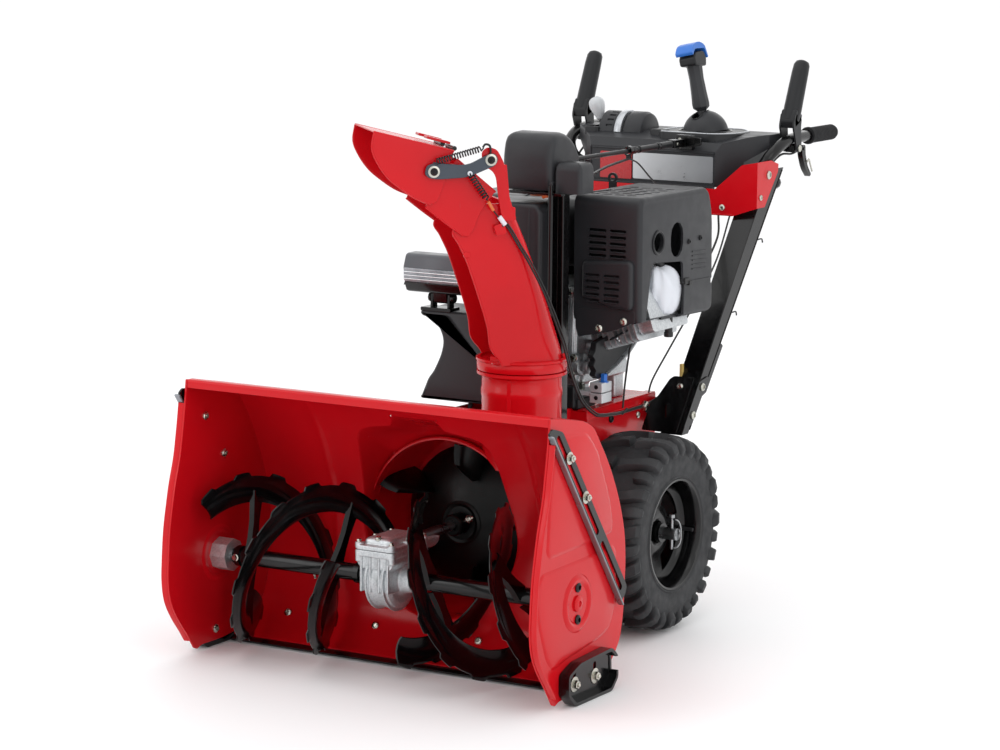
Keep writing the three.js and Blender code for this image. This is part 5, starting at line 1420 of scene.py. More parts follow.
def make_engine_block():
    """The crankcase, cylinder and covers: castings with ribs, bosses, fins and bolts."""
    case = prism(rounded([(654, 500), (654, 690), (676, 718), (842, 718), (866, 690),
                          (866, 500)], 12), -116, 96)
    parts = [case, lathe([(0.01, 618), (56, 618), (61, 622), (64, 640), (64, 660), (0.01, 660)], "Y",
                         (0, CRANK_Z), 48)]
    parts += [block(x, x + 6, 648, 656, 510, 700) for x in (-100, -60, 60, 84)]
    parts += [lathe([(0.01, 646), (9, 646), (10, 650), (10, 660), (0.01, 660)], "Y", c, 24)
              for c in ((-96, 520), (-96, 690), (82, 520), (82, 690), (-40, 700), (40, 700))]
    parts += [prism(rounded([(660, 500), (860, 500), (850, 530), (670, 530)], 5), x, x + 5)
              for x in (96, 102)]
    for x0 in (-104, 58):
        for y0 in (664, 812):
            parts.append(prism(rounded_box(x0, x0 + 42, y0, y0 + 40, 6), 450.5,
                               512, "XY"))
    parts += [lathe([(0.01, 96), (20, 96), (20, 112), (16, 116), (0.01, 116)], "X", (700, 548), 32),
              lathe([(0.01, 96), (13, 96), (13, 120), (0.01, 120)], "X", (668, 534), 28),
              lathe([(0.01, 96), (24, 96), (24, 106), (0.01, 106)], "X", (790, 580), 32)]
    piece("crankcase_casting", joined(parts), CAST, "machine", remesh=2.2, ease=3, replaces=["crankcase"])
    fins = [block(8, 118, 690, 832, -50, 50)]
    for i in range(9):
        x = 10 + i * 12.5
        fin = prism(rounded_box(674, 848, -68, 68, 14), x, x + 3)
        fins.append(fin)
    fins.append(prism(rounded_box(684, 838, -58, 58, 12), 118, 148))
    cylinder = joined(fins).turned(-18, "Y").shifted(98.4, 0, 626)
    piece("cylinder_casting", cylinder, CAST, "machine", sharp=35, replaces=["cylinder_block"],
          cuts=block(40, 98, 600, 900, 440, 760))
    mounts = [prism(rounded_box(134, 164, 640, 682, 3), z, z + 20, "XY")
              for z in (467, 489)]
    foot = prism(rounded_box(84, 136, 642, 690, 5), 480, 490, "XY")
    piece("mount_blocks", joined(mounts + [foot]), BLOCK, "machine", bevel=1.2)
    holes = joined([screw((150, 640.4, z), (0, -1, 0), 4.5, 2) for z in (478, 500)])
    piece("mount_screws", holes, DARK_STEEL, "machine")
    boss = joined([lathe([(8, 94), (15, 94), (16, 98), (16, 108), (13, 110), (8, 110)], "X", (652, 535), 32),
                   rod((97, 660, 556), (97, 638, 556), 9), rod((97, 700, 575), (110, 700, 575), 12)])
    piece("side_bosses", boss, CAST, "machine", sharp=35)
    bolts = [bolt((97, 639, 556), (0, -1, 0), 12, 7, 1.3), bolt((108, 656, 489.5), (0, 0, 1), 12, 16, 1.3),
             bolt((90, 645, 520), (0, -1, 0), 12, 7, 1.3)]
    bolts += [bolt((x, 645, z), (0, -1, 0), 10, 6, 1.3) for x, z in ((-96, 520), (-96, 690), (82, 690))]
    piece("engine_bolts", joined(bolts), ZINC, "machine")
    piece("blue_bolt", bolt((156, 662, 508.5), (0, 0, 1), 13, 17, 1.4), BLUE, "machine")
    shroud = prism(rounded([(799, 580), (764, 551), (690, 523), (652, 515), (634, 524), (640, 533),
                            (628, 545), (636, 556), (624, 566), (636, 576), (640, 592), (709, 604),
                            (790, 606)], 3), 136, 150)
    piece("intake_shroud", shroud, FINE_PLASTIC, "machine", bevel=2.4, segments=3)
    band = tube(curve([(152, 679, 522), (152, 717, 534), (152, 752, 549), (152, 781, 564),
                       (152, 808, 582)], 6),
                6, 12, wide=0.35)
    piece("shroud_band", band, STEEL, "machine", sharp=60)
    shield = surface([[(174 + 12 * u + 3 * math.sin(u * 3), 640 + 20 * u + v * 12,
                        594 + 9 * u + 10 * math.sin(v))
                       for v in range(0, 9)] for u in range(0, 7)])
    piece("heat_shield", shield, CHROME, "machine", thick=1.6, sub=1, sharp=60)
    nipple = joined([rod((246, 770, 604), (246, 770, 640), 8), rod((246, 770, 596), (246, 770, 606), 9.5),
                     rod((246, 770, 638), (240, 770, 660), 6)])
    piece("spark_lead_boot", nipple, CABLE, "machine", sharp=35)
    rods = joined([tube(curve([(238, 760, 626), (216, 720, 606), (200, 700, 590), (192, 700, 560),
                               (184, 700, 500), (180, 700, 452)], 6), 2.2, 8),
                   tube(curve([(190, 700, 452), (184, 690, 440), (186, 700, 446)], 4), 2.0, 8)])
    piece("throttle_rod", rods, CABLE, "machine", sharp=60)
    keep("crankshaft", STEEL, 0.5)


def make_tank_and_recoil():
    """The fuel tank, the pull starter's housing, and the muffler with its guard."""
    tank_outline = rounded([(640, 742), (640, 852), (664, 878), (848, 878), (870, 852), (870, 742)], 20)
    rings = []
    for x, inset in ((-186, 14), (-184, 7), (-178, 2), (-170, 0), (92, 0), (101, 2), (106, 7), (108, 14)):
        rings.append([(x, p.x, p.y) for p in grown(tank_outline, -inset)])
    seam = prism(grown(tank_outline, 2.0), -42, -37)
    piece("fuel_tank_moulding", joined([loft(rings), seam]), FINE_PLASTIC, "machine", sharp=35,
          replaces=["fuel_tank"])
    cap = [lathe([(0.01, 876), (36, 876), (36, 884), (30, 886), (30, 898), (27, 901), (0.01, 901)], "Z",
                 (-60, 760), 48)]
    cap += [block(28, 33, -4, 4, 886, 899).turned(k * 30, "Z").shifted(-60, 760, 0) for k in range(12)]
    piece("fuel_cap", joined(cap), BLACK, "machine", bevel=1.0)
    tray = prism(rounded_box(-112, 92, 688, 832, 14), 720.4, 743, "XY")
    piece("tank_bracket", tray, BLACK, "machine", bevel=2)
    shroud = prism(rounded_box(-112, 92, 540, 730, 26), 869, 893, "XZ")
    dish = lathe([(0.01, 880), (112, 880), (112, 902), (108, 912), (94, 930), (88, 934), (42, 938), (36, 942),
                  (0.01, 942)], "Y", (-10, CRANK_Z), 72)
    slots = []
    for k in range(18):
        a = 20 * k
        slots.append(prism(slot((64, 0), 42, 8), 900, 960, "XZ").turned(a, "Y").shifted(-10, 0, CRANK_Z))
    inner = lathe([(0.01, 872), (84, 872), (84, 926), (0.01, 926)], "Y", (-10, CRANK_Z), 48)
    piece("recoil_cover", dish, FINE_PLASTIC, "machine", cuts=joined(slots + [inner]), sharp=32,
          replaces=["recoil_housing"])
    piece("recoil_shroud", shroud, FINE_PLASTIC, "machine", bevel=6, segments=4)
    drum = lathe([(0.01, 888), (78, 888), (78, 912), (0.01, 912)], "Y", (-10, CRANK_Z), 48)
    piece("recoil_pulley", drum, DARK_STEEL, "machine", sharp=35)
    screws = [screw((-10 + 100 * math.cos(a), 922, CRANK_Z + 100 * math.sin(a)), (0, 1, 0.0), 6, 4)
              for a in (math.radians(k) for k in (45, 135, 225, 315))]
    piece("recoil_screws", joined(screws), ZINC, "machine")
    handle = joined([rod((58, 900, 742), (98, 900, 742), 9, 20, 4), rod((74, 900, 730), (82, 900, 744), 5)])
    piece("recoil_handle", handle, BLACK, "machine", sharp=40)
    muffler = prism(rounded([(712, 612), (712, 700), (730, 716), (850, 716), (868, 700), (868, 612)], 16),
                    -186, -124)
    piece("muffler_can", muffler, DARK_STEEL, "machine", bevel=8, segments=4)
    guard = joined([prism(rounded_box(706, 874, y, y + 7, 3), -194, -188)
                    for y in range(614, 710, 16)])
    piece("muffler_guard", guard, BLACK, "machine", bevel=1.2)


# ---------------------------------------------------------------- belt cover, gear caps and lamp
def make_belt_cover():
    """The tall belt cover and the lamp's bracket on it."""
    outline = rounded([(-172, 470), (110, 470), (110, 872), (98, 886), (-38, 886), (-58, 866), (-58, 655),
                       (-168, 655), (-173, 648), (-168, 641), (-146, 636), (-128, 622), (-116, 596),
                       (-122, 566), (-140, 530), (-152, 516)],
                      [6, 6, 18, 14, 22, 20, 8, 4, 4, 4, 12, 22, 40, 40, 30, 30])
    outer = loft([[(p.x, y, p.y) for p in grown(outline, -inset)]
                  for y, inset in ((474, 8), (475.2, 4.5), (478, 1.8), (483, 0.3), (490, 0), (592, 0))])
    core = prism(grown(outline, -4), 479, 640, "XZ")
    creases = [tube([(-52, 474.4, 660), (-44, 474.2, 850)], 2.2, 8),
               tube([(36, 474.2, 480), (36, 474.2, 876)], 2.0, 8),
               tube([(84, 474.2, 480), (84, 474.2, 876)], 2.0, 8)]
    piece("belt_cover_moulding", outer, PLASTIC, "machine", cuts=core, sharp=35, replaces=["belt_cover"])
    bracket = [prism(rounded_box(-169, -98, 652, 660, 2), 474, 512, "XZ")]
    for x in (-152, -112):
        ear = prism(rounded([(484, 656), (504, 656), (502, 690), (486, 690)], 5), x, x + 6)
        bracket.append(ear)
    piece("lamp_bracket", joined(bracket), BLACK, "machine", bevel=1.4)
    piece("cover_creases", joined(creases), PLASTIC, "machine", sharp=60)


def make_gear_caps():
    """The caps over the chute's gears, the post that carries them and the drive gear."""
    outline = rounded([(486, 896), (484, 980), (496, 1022), (556, 1027), (602, 992), (620, 946), (620, 896)],
                      [16, 40, 30, 50, 50, 30, 16])
    rings = []
    for x, inset in ((12, 15), (13, 10), (16, 5.5), (22, 2), (30, 0), (108, 0), (116, 2), (122, 5.5),
                     (125, 10), (126, 15)):
        rings.append([(x, p.x, max(p.y, 911.4)) for p in grown(outline, -inset)])
    piece("gear_cap_moulding", loft(rings), PLASTIC, "machine", sharp=50, replaces=["gear_cap"],
          cuts=rod((82, 600, 960), (82, 640, 960), 9.5))
    band = prism(rounded_box(490, 616, 912, 930, 4), 10.6, 127.4)
    piece("gear_cap_skirt", band, PLASTIC, "machine", bevel=3, segments=3)
    small = rounded_box(129, 190, 493, 552, 10)
    rings = [[(p.x, p.y, z) for p in grown(small, -inset)]
             for z, inset in ((908, 0), (952, 0), (960, 1.5), (966, 5), (969, 10))]
    piece("column_cap", loft(rings), PLASTIC, "machine", sharp=50)
    post = rounded_box(116, 146, 503, 530, 3)
    channel = prism(post, 300, 906, "XY")
    hollow = prism(rounded_box(119.5, 142.5, 480, 526.5, 2), 430, 900, "XY")
    foot = prism(rounded_box(102.6, 120, 503, 530, 2), 300, 420, "XY")
    shelf = prism(rounded_box(29, 158, 480, 598, 8), 904, 909, "XY")
    piece("chute_post", channel, BLACK, "machine", bevel=1.0, cuts=hollow, replaces=["chute_column"])
    piece("post_foot_and_shelf", joined([foot, shelf]), BLACK, "machine", bevel=0.8,
          cuts=rod((131, 478, 880), (131, 478, 930), 6))
    gears = joined([lathe([(0.01, 896), (22, 896), (22, 903), (0.01, 903)], "Z", (70, 545), 40),
                    rod((100, 500, 899), (112, 500, 903), 5)])
    piece("drive_gear", gears, ORANGE, "machine", sharp=35)
    keep("chute_drive_shaft", BLACK, 0.4)


def make_headlamp():
    """A grey hood over a fluted lens, on a black base with side knobs."""
    x0, x1 = -198.0, -60.0
    top = rounded([(452, 742), (462, 769), (505, 769.5), (519, 752), (519, 738), (452, 736)],
                  [3, 8, 10, 6, 3, 2])
    lens = rounded([(450, 716), (449, 741), (514, 741), (514, 712), (456, 710)], [3, 3, 3, 3, 4])
    base = rounded([(462, 691), (452, 712), (519, 715), (519, 706), (506, 691)], [6, 3, 4, 8, 6])
    for name, outline, look_here, ends in (("lamp_hood", top, LAMP_TOP, 3.0),
                                           ("lamp_base", base, BLACK, 8.0)):
        rings = [[(x, p.x, p.y) for p in grown(outline, -inset)]
                 for x, inset in ((x0, ends), (x0 + ends * 0.4, 1.2), (x0 + ends, 0), (x1 - ends, 0),
                                  (x1 - ends * 0.4, 1.2), (x1, ends))]
        piece(name, loft(rings), look_here, "headlamp", sharp=40,
              replaces=["headlamp"] if name == "lamp_hood" else ())
    piece("lamp_lens", prism(lens, x0 + 3, x1 - 3), LENS, "headlamp", bevel=2.0, segments=3)
    bars = joined([tube([(x0 + 4, 447.8 + k * 0.3, 719 + k * 7),
                         (x1 - 4, 447.8 + k * 0.3, 719 + k * 7)], 1.0, 8)
                   for k in range(3)])
    piece("lens_bars", bars, CHROME, "headlamp", sharp=60)
    tongue = prism(rounded([(486, 668), (502, 668), (506, 694), (482, 694)], 4), -145, -113)
    piece("lamp_tongue", tongue, BLACK, "headlamp", bevel=1.4)
    knobs = joined([lathe([(0.01, -158), (9, -158), (10, -155), (9, -152.4), (0.01, -152.4)], "X",
                          (494, 679), 24),
                    lathe([(0.01, -105.6), (9, -105.6), (10, -103), (9, -99), (0.01, -99)], "X",
                          (494, 679), 24)])
    piece("lamp_knobs", knobs, BLACK, "machine", sharp=35)


# ---------------------------------------------------------------- drive frame
def make_frame():
    """The red drive frame, its top rails, covers and fasteners."""
    keep("traction_frame", RED, 1.6)
    rail = rounded_box(621, 917, 450.4, 453, 1)
    rails = [prism(rail, 118, 140), prism(rail, -140, -118)]
    rear = prism(rounded_box(-118, 118, 350, 440, 8), 918.4, 921, "XZ")
    rail_edge = prism(rounded_box(621, 917, 430, 436, 2), 139, 141.4)
    piece("frame_rails", joined(rails + [rail_edge, rail_edge.mirrored()]), RED, "machine", bevel=0.6)
    piece("frame_rear_cover", rear, RED, "machine", bevel=1.0)
    belly = prism(rounded_box(-120, 120, 640, 850, 10), 127, 130, "XY")
    piece("frame_belly_cover", belly, BLACK, "machine", bevel=0.8)
    places = [(640, 380), (722, 422), (880, 420), (640, 160), (850, 160), (640, 300)]
    heads = [screw((s * 140.2, y, z), (s, 0, 0), 8, 5) for s in (1, -1) for y, z in places]
    piece("frame_screws", joined(heads), DARK_STEEL, "machine")
    zinc = [screw((x, 921.4, z), (0, 1, 0), 6, 3.5) for x in (-100, 100) for z in (362, 428)]
    zinc += [screw((x, y, 126.6), (0, 0, -1), 6, 3) for x in (-105, 105) for y in (655, 835)]
    piece("cover_fixings", joined(zinc), ZINC, "machine")
    bearing = lathe([(13.6, 140.2), (34, 140.2), (34, 143), (24, 145), (20, 150), (13.6, 150)], "X",
                    (WHEEL_Y, WHEEL_Z), 48)
    for side, turn_over in SIDES:
        piece("axle_bearing_" + side, turn_over(bearing), ZINC, "machine", sharp=35)
    chest = joined([block(56, 118, 625, 700, 452, 474), block(62, 112, 615, 640, 455, 500)])
    piece("chain_box", chest, FINE_PLASTIC, "machine", bevel=4, segments=3)


# ---------------------------------------------------------------- handles
LEG_Y, LEG_FOOT, LEG_SLOPE = 823.0, 383.0, 0.754


def leg_at(z, depth=0.0):
    """The Y of a leg's front edge at a height, plus a depth."""
    return LEG_Y + LEG_SLOPE * (z - LEG_FOOT) + depth


def make_legs():
    """The handle's two legs with their fixings, and the sheet that carries the console."""
    for side, turn_over in SIDES:
        keep("handle_leg_" + side, BLACK, 0.9)
        rolled = joined([tube([(252.4, leg_at(388) + 0.4, 388), (252.4, leg_at(900) + 0.4, 900)], 1.3, 8),
                         tube([(253.4, leg_at(390, 29.6), 390), (253.4, leg_at(900, 60), 900)], 1.2, 8)])
        piece("leg_edges_" + side, turn_over(rolled), BLACK, "machine", sharp=60)
        gusset = prism(rounded([(leg_at(400) - 8, 400), (leg_at(486) - 8, 486), (leg_at(494) + 32, 494),
                                (leg_at(400) + 26, 400)], [3, 10, 10, 3]), 253.4, 256.2)
        piece("leg_gusset_" + side, turn_over(gusset), BLACK, "machine", bevel=0.8)
        bracket = prism(rounded([(leg_at(452, 44), 452), (leg_at(470, 40), 470), (leg_at(556, 44), 556),
                                 (leg_at(548, 64), 548), (leg_at(466, 52), 458)], 3), 222, 250)
        piece("leg_clip_" + side, turn_over(bracket), BLACK, "machine", bevel=1.4)
        foot_plate = prism(rounded([(158, 386), (158, 440), (170, 452), (184, 486), (192, 492), (240, 492),
                                    (240, 386)], 4), -3.4, -0.4, "XZ")
        on_leg = Shape([(p.x, p.y + leg_at(p.z), p.z) for p in foot_plate.points], foot_plate.faces)
        piece("leg_front_gusset_" + side, turn_over(on_leg), BLACK, "machine", bevel=0.8)
        fixings = [screw((256.4, leg_at(474, 14), 474), (1, 0, 0), 8.5, 5),
                   screw((214, leg_at(474) - 3.8, 474), (0, -1, 0), 7, 4),
                   screw((256.4, leg_at(420, 14), 420), (1, 0, 0), 8.5, 5),
                   screw((262.6, 1186, 896), (1, 0, 0), 9, 5), screw((262.6, 1150, 850), (1, 0, 0), 6, 3.5)]
        piece("leg_fixings_" + side, turn_over(joined(fixings)), ZINC, "machine")
        hooks = []
        for z in (612, 756):
            y = leg_at(z, 34 + (z - 383) * 0.063)
            hooks.append(tube(curve([(246, y - 4, z), (250, y + 8, z + 2), (252, y + 20, z + 2),
                                     (252, y + 24, z - 6)], 6), 1.6, 8))
        piece("leg_hooks_" + side, turn_over(joined(hooks)), COIL, "machine")
        knob = lathe([(0.01, 0), (7, 0), (8, 4), (13, 8), (14, 14), (12, 20), (0.01, 21)], sides=10)
        stem = rod((240, leg_at(872, 40), 868), (240, leg_at(872, 66), 872), 4.5)
        placed = knob.turned(-90, "X").shifted(240, leg_at(872, 60), 872)
        piece("handle_knob_" + side, turn_over(placed + stem), BLACK, "machine", sharp=35)
    tag = block(203, 209, leg_at(500) - 7, leg_at(500) + 2, 484, 518)
    piece("cable_tag", tag, YELLOW, "machine", bevel=0.6)
    keep("console_support", RED, 0.9)
    fold = joined([prism(rounded_box(SUPPORT_Y - 1.6, SUPPORT_Y + 12, 809, 812, 1), -204, 204),
                   lathe([(9, -2.4), (15, -2.4), (19, 0.2), (9, 0.2)], "X", (1186, 896), 40).shifted(262),
                   lathe([(9, 0.2), (19, 0.2), (15, -2.4), (9, -2.4)], "X", (1186, 896), 40).turned(
                       180, "Z", (0, 1186, 0)).shifted(-262)])
    piece("support_folds", fold, RED, "machine", sharp=35)
    face = joined([screw((x, SUPPORT_Y - 1, 826), (0, -1, 0), 6.5, 4) for x in (-180, 180)])
    piece("support_screws", face, ZINC, "machine")


# ---------------------------------------------------------------- console
def raised_patch(outline, z, height, edge):
    """A low pad on the console's top, with a rounded rim."""
    rings = [[(p.x, p.y, z - 14.0) for p in outline]]
    for inset, lift in ((0, height - edge), (edge * 0.3, height - edge * 0.3), (edge, height)):
        rings.append([(p.x, p.y, z + lift) for p in grown(outline, -inset)])
    return loft(rings)


def make_console():
    """The console, its plain badge and panel, and the fittings on its top."""
    keep("console", PLASTIC, 3.0)
    badge = prism(rounded_box(-128, -50, 872, 930, 3), 1147.6, 1150.4, "XZ")
    piece("console_badge", badge, BADGE, "machine", bevel=0.5)
    decal = prism(rounded_box(-47, 148, 874, 931, 4), 1148.6, 1150.4, "XZ")
    piece("console_decal", decal, DECAL, "machine", bevel=0.4)
    seams = joined([tube([(-150, 1148.8, 938), (150, 1148.8, 938)], 1.6, 8),
                    tube([(151, 1149, 868), (152.6, 1149, 940)], 1.4, 8),
                    tube([(-151, 1149, 868), (-152.6, 1149, 940)], 1.4, 8)])
    skirt = prism(rounded_box(-152, 152, 850, 868, 2), 1139, 1152, "XZ")
    piece("console_skirt", skirt, PLASTIC, "machine", bevel=1.0)
    piece("console_seams", seams, PLASTIC, "machine", sharp=60)
    hump = lathe([(0.01, -104), (40, -104), (47, -101), (50, -95), (50, -66), (46, -58), (38, -54),
                  (0.01, -54)], "X", (1245, 962), 64)
    arch = lathe([(30, -121), (51, -121), (52, -119), (52, -107), (51, -105), (30, -105)], "X",
                 (1245, 962), 64)
    base = lathe([(24, -162), (46, -162), (49, -160), (49, -126), (46, -122), (24, -122)], "X",
                 (1245, 962), 64)
    below = block(-240, 240, 1150, 1340, 820, 969)
    piece("console_hump", hump, PLASTIC, "machine", sharp=35, cuts=below)
    piece("quadrant_arc", arch, BRUSHED, "machine", sharp=35, cuts=below)
    teeth = []
    for k in range(9):
        a = math.radians(24 + k * 16.5)
        y, z = 1245 + math.cos(a) * 49, 962 + math.sin(a) * 49
        teeth.append(block(-144, -128, -2.6, 2.6, -3, 3).turned(math.degrees(a) - 90, "X").shifted(0, y, z))
    piece("quadrant_slot", base, PLASTIC, "machine", sharp=35, cuts=joined([below] + teeth))
    lever_gate = raised_patch(rounded_box(-194, -158, 1190, 1304, 8), 974.5, 3.5, 2)
    gate_slot = prism(rounded_box(-186, -166, 1198, 1296, 5), 940, 1000, "XY")
    piece("speed_gate", lever_gate, FINE_PLASTIC, "machine", sharp=35, cuts=gate_slot)
    switch = raised_patch(rounded([(-30, 1190), (12, 1186), (16, 1206), (-26, 1212)], 6), 972, 8, 4)
    piece("console_switch", switch, FINE_PLASTIC, "machine", sharp=45)
    ring = rounded([(6, 1168), (138, 1164), (176, 1206), (176, 1276), (140, 1322), (22, 1322), (-10, 1280),
                    (-12, 1206)], 16)
    well = rod((80, 1245, 900), (80, 1245, 1010), 56, 72)
    piece("joystick_bezel", raised_patch(ring, 971, 7, 3), FINE_PLASTIC, "machine", sharp=35, cuts=well)
    outline = rounded(grown(ring, -5), 10)
    trim = tube([(p.x, p.y, 978.2) for p in outline] + [(outline[0].x, outline[0].y, 978.2)], 1.6, 8)
    piece("bezel_trim", trim, BRUSHED, "machine", sharp=60)
    lip = lathe([(55, 972), (59, 972), (59, 979), (57, 980.4), (55, 979)], "Z", (80, 1245), 72)
    piece("well_lip", lip, BLACK, "machine", sharp=35)
    lamp_switch = raised_patch(rounded_box(40, 70, 1328, 1338, 3), 974, 3, 1.4)
    piece("rear_switch", lamp_switch, BLACK, "machine", sharp=40)


def on_stick(shape):
    """A shape built up from the origin, leaned and moved to the joystick's pivot."""
    return shape.turned(-12, "Y").shifted(80, 1245, 972)


def make_joystick():
    """The joystick with its dome and trigger, and the speed lever."""
    profile = [(50 * math.sin(math.radians(a)), 50 * math.cos(math.radians(a))) for a in range(0, 91, 6)]
    inner = [(46 * math.sin(math.radians(a)), 46 * math.cos(math.radians(a))) for a in range(90, -1, -6)]
    dome = lathe([(max(r, 0.01), h) for r, h in profile + inner], sides=72)
    hole = prism(slot((0, -11), 54, 27, 90), 20, 70, "XY")
    piece("joystick_dome_shell", on_stick(dome), PLASTIC, "joystick_dome", sharp=35, cuts=on_stick(hole),
          replaces=["joystick_dome"])
    rim = slot((0, -11), 54, 27, 90, 8)
    lip = tube([(x, y, math.sqrt(50.4 ** 2 - x * x - y * y)) for x, y in rim + rim[:1]], 1.3, 8)
    piece("dome_slot_lip", on_stick(lip), FINE_PLASTIC, "joystick_dome", sharp=60)
    rings = []
    for z, half_x, half_y in ((12, 9, 9), (50, 9.5, 9.5), (57, 17, 17), (66, 17.5, 18), (86, 16, 17.5),
                              (120, 14.5, 16.5), (146, 15.5, 18), (152, 18, 20)):
        corner = 0.42
        ring = [(half_x, half_y * corner), (half_x * corner, half_y), (-half_x * corner, half_y),
                (-half_x, half_y * corner), (-half_x, -half_y * corner), (-half_x * corner, -half_y),
                (half_x * corner, -half_y), (half_x, -half_y * corner)]
        rings.append([(x, y, z) for x, y in ring])
    head = prism(rounded([(-30, 150), (20, 145), (26, 162), (19, 178), (4, 179.5), (-21, 176.5), (-31, 167)],
                         [5, 4, 6, 5, 10, 5, 5]), -20, 20)
    piece("joystick_stalk", on_stick(loft(rings)), PLASTIC, "joystick", bevel=1.2, replaces=["joystick"])
    piece("joystick_head", on_stick(head), FINE_PLASTIC, "joystick", bevel=5.5, segments=4)
    lid = prism(rounded([(-36, 171), (-24, 184), (21, 184), (29, 162), (33, 165), (25, 191), (2, 200),
                         (-27, 195), (-41, 178)], [1.6, 6, 5, 1.6, 2, 8, 14, 10, 4]), -21, 21)
    piece("joystick_lid", on_stick(lid), BLUE, "joystick_trigger", bevel=3.2, segments=4,
          replaces=["joystick_trigger"])
    stem = rod((0, 0, 2), (0, 0, 66), 5, 20)
    boot = lathe([(0.01, 0), (12, 0), (12, 6), (7, 12), (7, 20), (0.01, 20)], sides=24)
    knob = lathe([(0.01, 62), (8, 62), (9, 68), (13, 78), (17, 90), (18, 99), (16.5, 107), (11, 112.6),
                  (5, 114.6), (0.01, 115)], sides=48)

    def place(shape):
        return shape.turned(-19, "Y").shifted(-160, 1245, 930)

    piece("speed_stem", place(stem + boot), BLACK, "speed_lever", sharp=35, replaces=["speed_lever"])
    piece("speed_knob", place(knob), KNOB, "speed_lever", sharp=60, sub=1)


LEVER_LEAN = -23.6  # degrees about X
BAR_PATH = [(0, 1222, 892), (160, 1222, 892), (222, 1216, 902), (248, 1226, 936), (257, 1276, 960),
            (257, 1340, 966), (257, 1420, 966), (257, 1509, 966)]


def make_bar_and_grips():
    """The handlebar with its lever mounts, the ribbed grips and the steering cables."""
    half = [Vector(p) for p in BAR_PATH]
    whole = [Vector((-p.x, p.y, p.z)) for p in reversed(half[1:])] + half
    parts = [tube(curve(whole, 10), 12.5, 32)]
    for s in (1, -1):
        x = s * GRIP_X
        parts.append(block(x - 10, x + 10, 1301, 1319, 936, 962))
        parts.append(rod((x - s * 20, 1310, 945), (x + s * 20, 1310, 945), 4, 20))
        parts.append(rod((x - 9, 1356, 940), (x + 9, 1356, 940), 3, 20))
        near, far = sorted((x - s * 10, x - s * 6))
        parts.append(block(near, far, 1348, 1364, 932, 962))
    piece("handlebar_tube", joined(parts), BLACK, "machine", sharp=40, replaces=["handlebar"])
    for side, s in (("left", 1), ("right", -1)):
        ribs = [(12.7, 1387), (17.5, 1387), (19, 1389), (19, 1393), (17, 1395)]
        for k in range(16):
            y = 1397 + k * 7.0
            ribs += [(15.8, y), (16.0, y + 1.6), (17.2, y + 2.6), (17.2, y + 5.0), (15.9, y + 6.0)]
        ribs += [(16.4, 1510), (15.0, 1514), (10, 1515), (0.01, 1515), (0.01, 1509.5), (12.7, 1509.5)]
        piece("grip_rubber_" + side, lathe(ribs, "Y", (s * GRIP_X, GRIP_Z), 48), RUBBER, "machine", sharp=40,
              replaces=["grip_" + side])
        wire = tube(curve([(s * 252, 1352, 936), (s * 246, 1330, 930), (s * 240, 1290, 930),
                           (s * 236, 1240, 905), (s * 226, 1190, 850)], 8), 2.4, 10)
        piece("steering_cable_" + side, wire, CABLE, "machine", sharp=60)


def make_levers():
    """The two upright control levers, and the steering trigger under each grip."""
    for side, turn_over in SIDES:
        body = "control_lever_" + side

        def place(shape):
            return turn_over(shape.turned(LEVER_LEAN, "X").shifted(GRIP_X, 1310, 945))

        rings = []
        for z, rx, ry, cy in ((50, 19, 18, -33), (58, 19.5, 19, -33), (70, 20, 19, -33),
                              (110, 19.4, 18.4, -33.5), (160, 18.6, 17.6, -34), (178, 17.6, 16.6, -33.6),
                              (185, 14.5, 14, -33.2), (188.4, 8, 8, -33), (189, 0.5, 0.5, -33)):
            rings.append([(rx * math.cos(2 * math.pi * k / 24), cy + ry * math.sin(2 * math.pi * k / 24), z)
                          for k in range(24)])
        handle = loft(rings)
        saddle = prism(rounded([(-50, 72), (-16, 72), (-15, 54), (-26, 42), (-38, 30), (-50, 44)],
                               [6, 6, 6, 6, 6, 8]), -18, 18)
        cheek = rounded([(-50, 62), (-16, 62), (-13, 46), (8, 10), (9, -6), (0, -10), (-8, -8), (-26, 12),
                         (-47, 32)], [6, 6, 8, 8, 7, 6, 6, 16, 8])
        cheeks = prism(cheek, 14, 18) + prism(cheek, -18, -14)
        piece("lever_handle_" + side, place(handle), FINE_PLASTIC, body, sharp=60, replaces=[body])
        piece("lever_saddle_" + side, place(saddle), FINE_PLASTIC, body, bevel=4, segments=3)
        piece("lever_cheeks_" + side, place(cheeks), FINE_PLASTIC, body, bevel=1.4,
              cuts=place(rod((-30, 0, 0), (30, 0, 0), 4.6)))
        caps = joined([rod((18.2, 0, 0), (21, 0, 0), 7.5, 24), rod((-21, 0, 0), (-18.2, 0, 0), 7.5, 24)])
        piece("lever_pin_" + side, place(caps), ZINC, body, sharp=35)
        y, z = 1356, 940
        blade = prism(rounded([(y - 8, z + 8), (y + 8, z + 8), (y + 10, z - 12), (y + 22, z - 40),
                               (y + 40, z - 58), (y + 34, z - 64), (y + 10, z - 44), (y - 6, z - 14)],
                              [5, 5, 6, 10, 3, 3, 12, 8]), GRIP_X - 5, GRIP_X + 7)
        hook = tube(curve([(GRIP_X + 9, y + 14, z - 30), (GRIP_X + 10, y + 20, z - 24),
                           (GRIP_X + 10, y + 26, z - 32), (GRIP_X + 10, y + 38, z - 52)], 6), 1.8, 8)
        name = "steering_trigger_" + side
        piece("trigger_blade_" + side, turn_over(blade), BLACK, name, bevel=1.6, segments=3, replaces=[name],
              cuts=turn_over(rod((GRIP_X - 20, y, z), (GRIP_X + 20, y, z), 3.6)))
        piece("trigger_hook_" + side, turn_over(hook), ZINC, name, sharp=60)


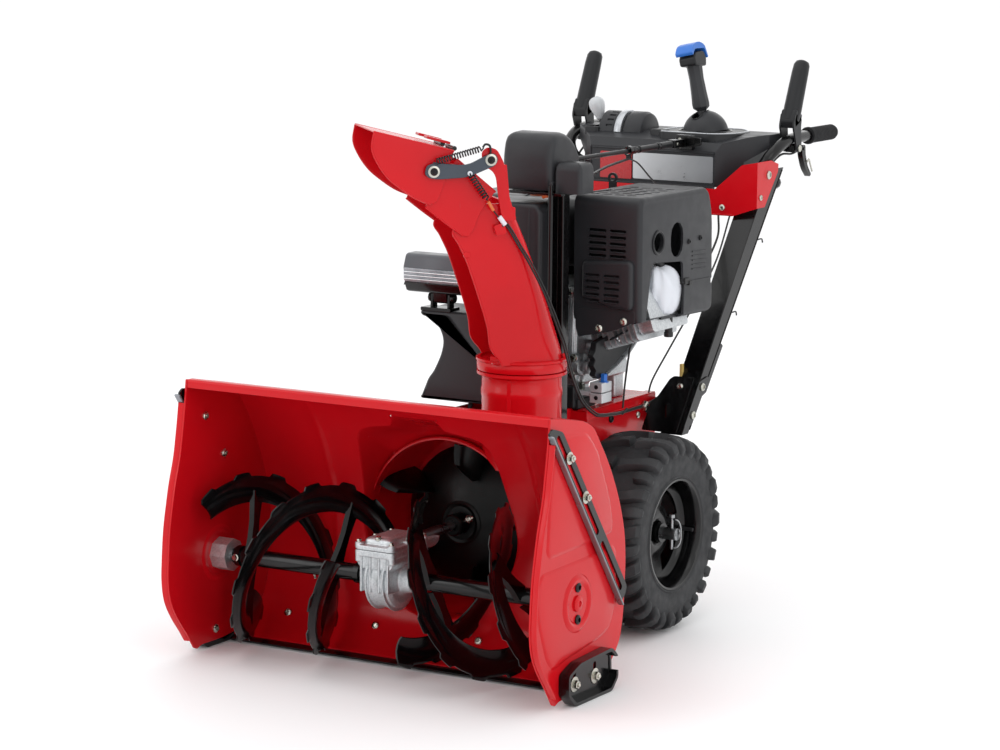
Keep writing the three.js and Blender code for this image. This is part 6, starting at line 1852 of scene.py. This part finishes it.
# ---------------------------------------------------------------- rods and cables
def make_rods():
    """The chute's control rod with its joints, the lower rod and the control cables."""
    x, z = 82, 960
    parts = [rod((x, 606, z), (x, 902, z), 5.0, 20), rod((x, 902, z), (x, 916, z), 8.5, 6),
             rod((x, 918, z), (x, 1012, z), 6.4, 20), rod((x, 930, z), (x, 936, z), 8, 20),
             rod((x, 1014, z), (x, 1024, z), 8.2, 6), rod((x, 1026, z), (x, 1080, z), 7.4, 20)]
    yoke = prism(rounded_box(1080, 1132, z - 9, z + 9, 3), x - 9, x + 9)
    piece("control_rod_bar", joined(parts), DARK_STEEL, "control_rod", sharp=35, replaces=["control_rod"])
    piece("control_rod_yoke", yoke, BLACK, "control_rod", bevel=1.6)
    pins = joined([rod((x - 10.6, 1092, z), (x + 10.6, 1092, z), 3.2, 16),
                   rod((x, 1120, z - 10.6), (x, 1120, z + 10.6), 3.2, 16)])
    piece("control_rod_pins", pins, ZINC, "control_rod", sharp=35)
    bracket = joined([prism(rounded_box(64, 104, 944, 976, 4), 1134, 1150, "XZ"),
                      prism(rounded([(98, 950), (128, 956), (128, 972), (98, 976)], 3), 1128, 1134, "XZ")])
    piece("rod_bracket", bracket, BLACK, "machine", bevel=2)
    ring = lathe([(7.2, 884), (10.5, 884), (10.5, 896), (7.2, 896)], "Y", (x, z), 32)
    clamp = joined([ring, block(x - 4, x + 4, 885, 895, z - 18, z - 9)])
    piece("rod_clamp", clamp, BLACK, "machine", bevel=0.8)
    low = tube(curve([(160, 552, 935), (150, 600, 935), (112, 740, 940), (84, 890, 944)], 8), 2.8, 10)
    piece("lower_rod", low, DARK_STEEL, "machine", sharp=60)
    lines = joined([tube(curve([(84, 888, 944), (84, 930, 930), (88, 985, 892), (98, 1050, 850),
                                (112, 1105, 836), (118, 1137, 838)], 8), 1.8, 8),
                    tube(curve([(170, 1136, 812), (176, 1120, 760), (172, 1050, 700), (150, 960, 668),
                                (120, 925, 640)], 8), 2.4, 8),
                    tube(curve([(-170, 1136, 812), (-176, 1090, 700), (-150, 990, 560), (-122, 926, 470),
                                (-118, 912, 446)], 8),
                         2.4, 8),
                    tube(curve([(198, 1136, 812), (196, 1080, 720), (190, 1000, 640), (160, 936, 540),
                                (140, 904, 480), (134, 896, 447)], 8), 2.0, 8)])
    piece("control_cables", lines, CABLE, "machine", sharp=60)


make_camera()
make_studio()
make_housing()
make_augers()
make_gearbox()
make_impeller()
for wheel_side, turn in SIDES:
    make_wheel(wheel_side, turn)
make_chute()
make_chute_cable()
make_engine_cover()
make_engine_block()
make_tank_and_recoil()
make_belt_cover()
make_gear_caps()
make_headlamp()
make_frame()
make_legs()
make_console()
make_joystick()
make_bar_and_grips()
make_levers()
make_rods()
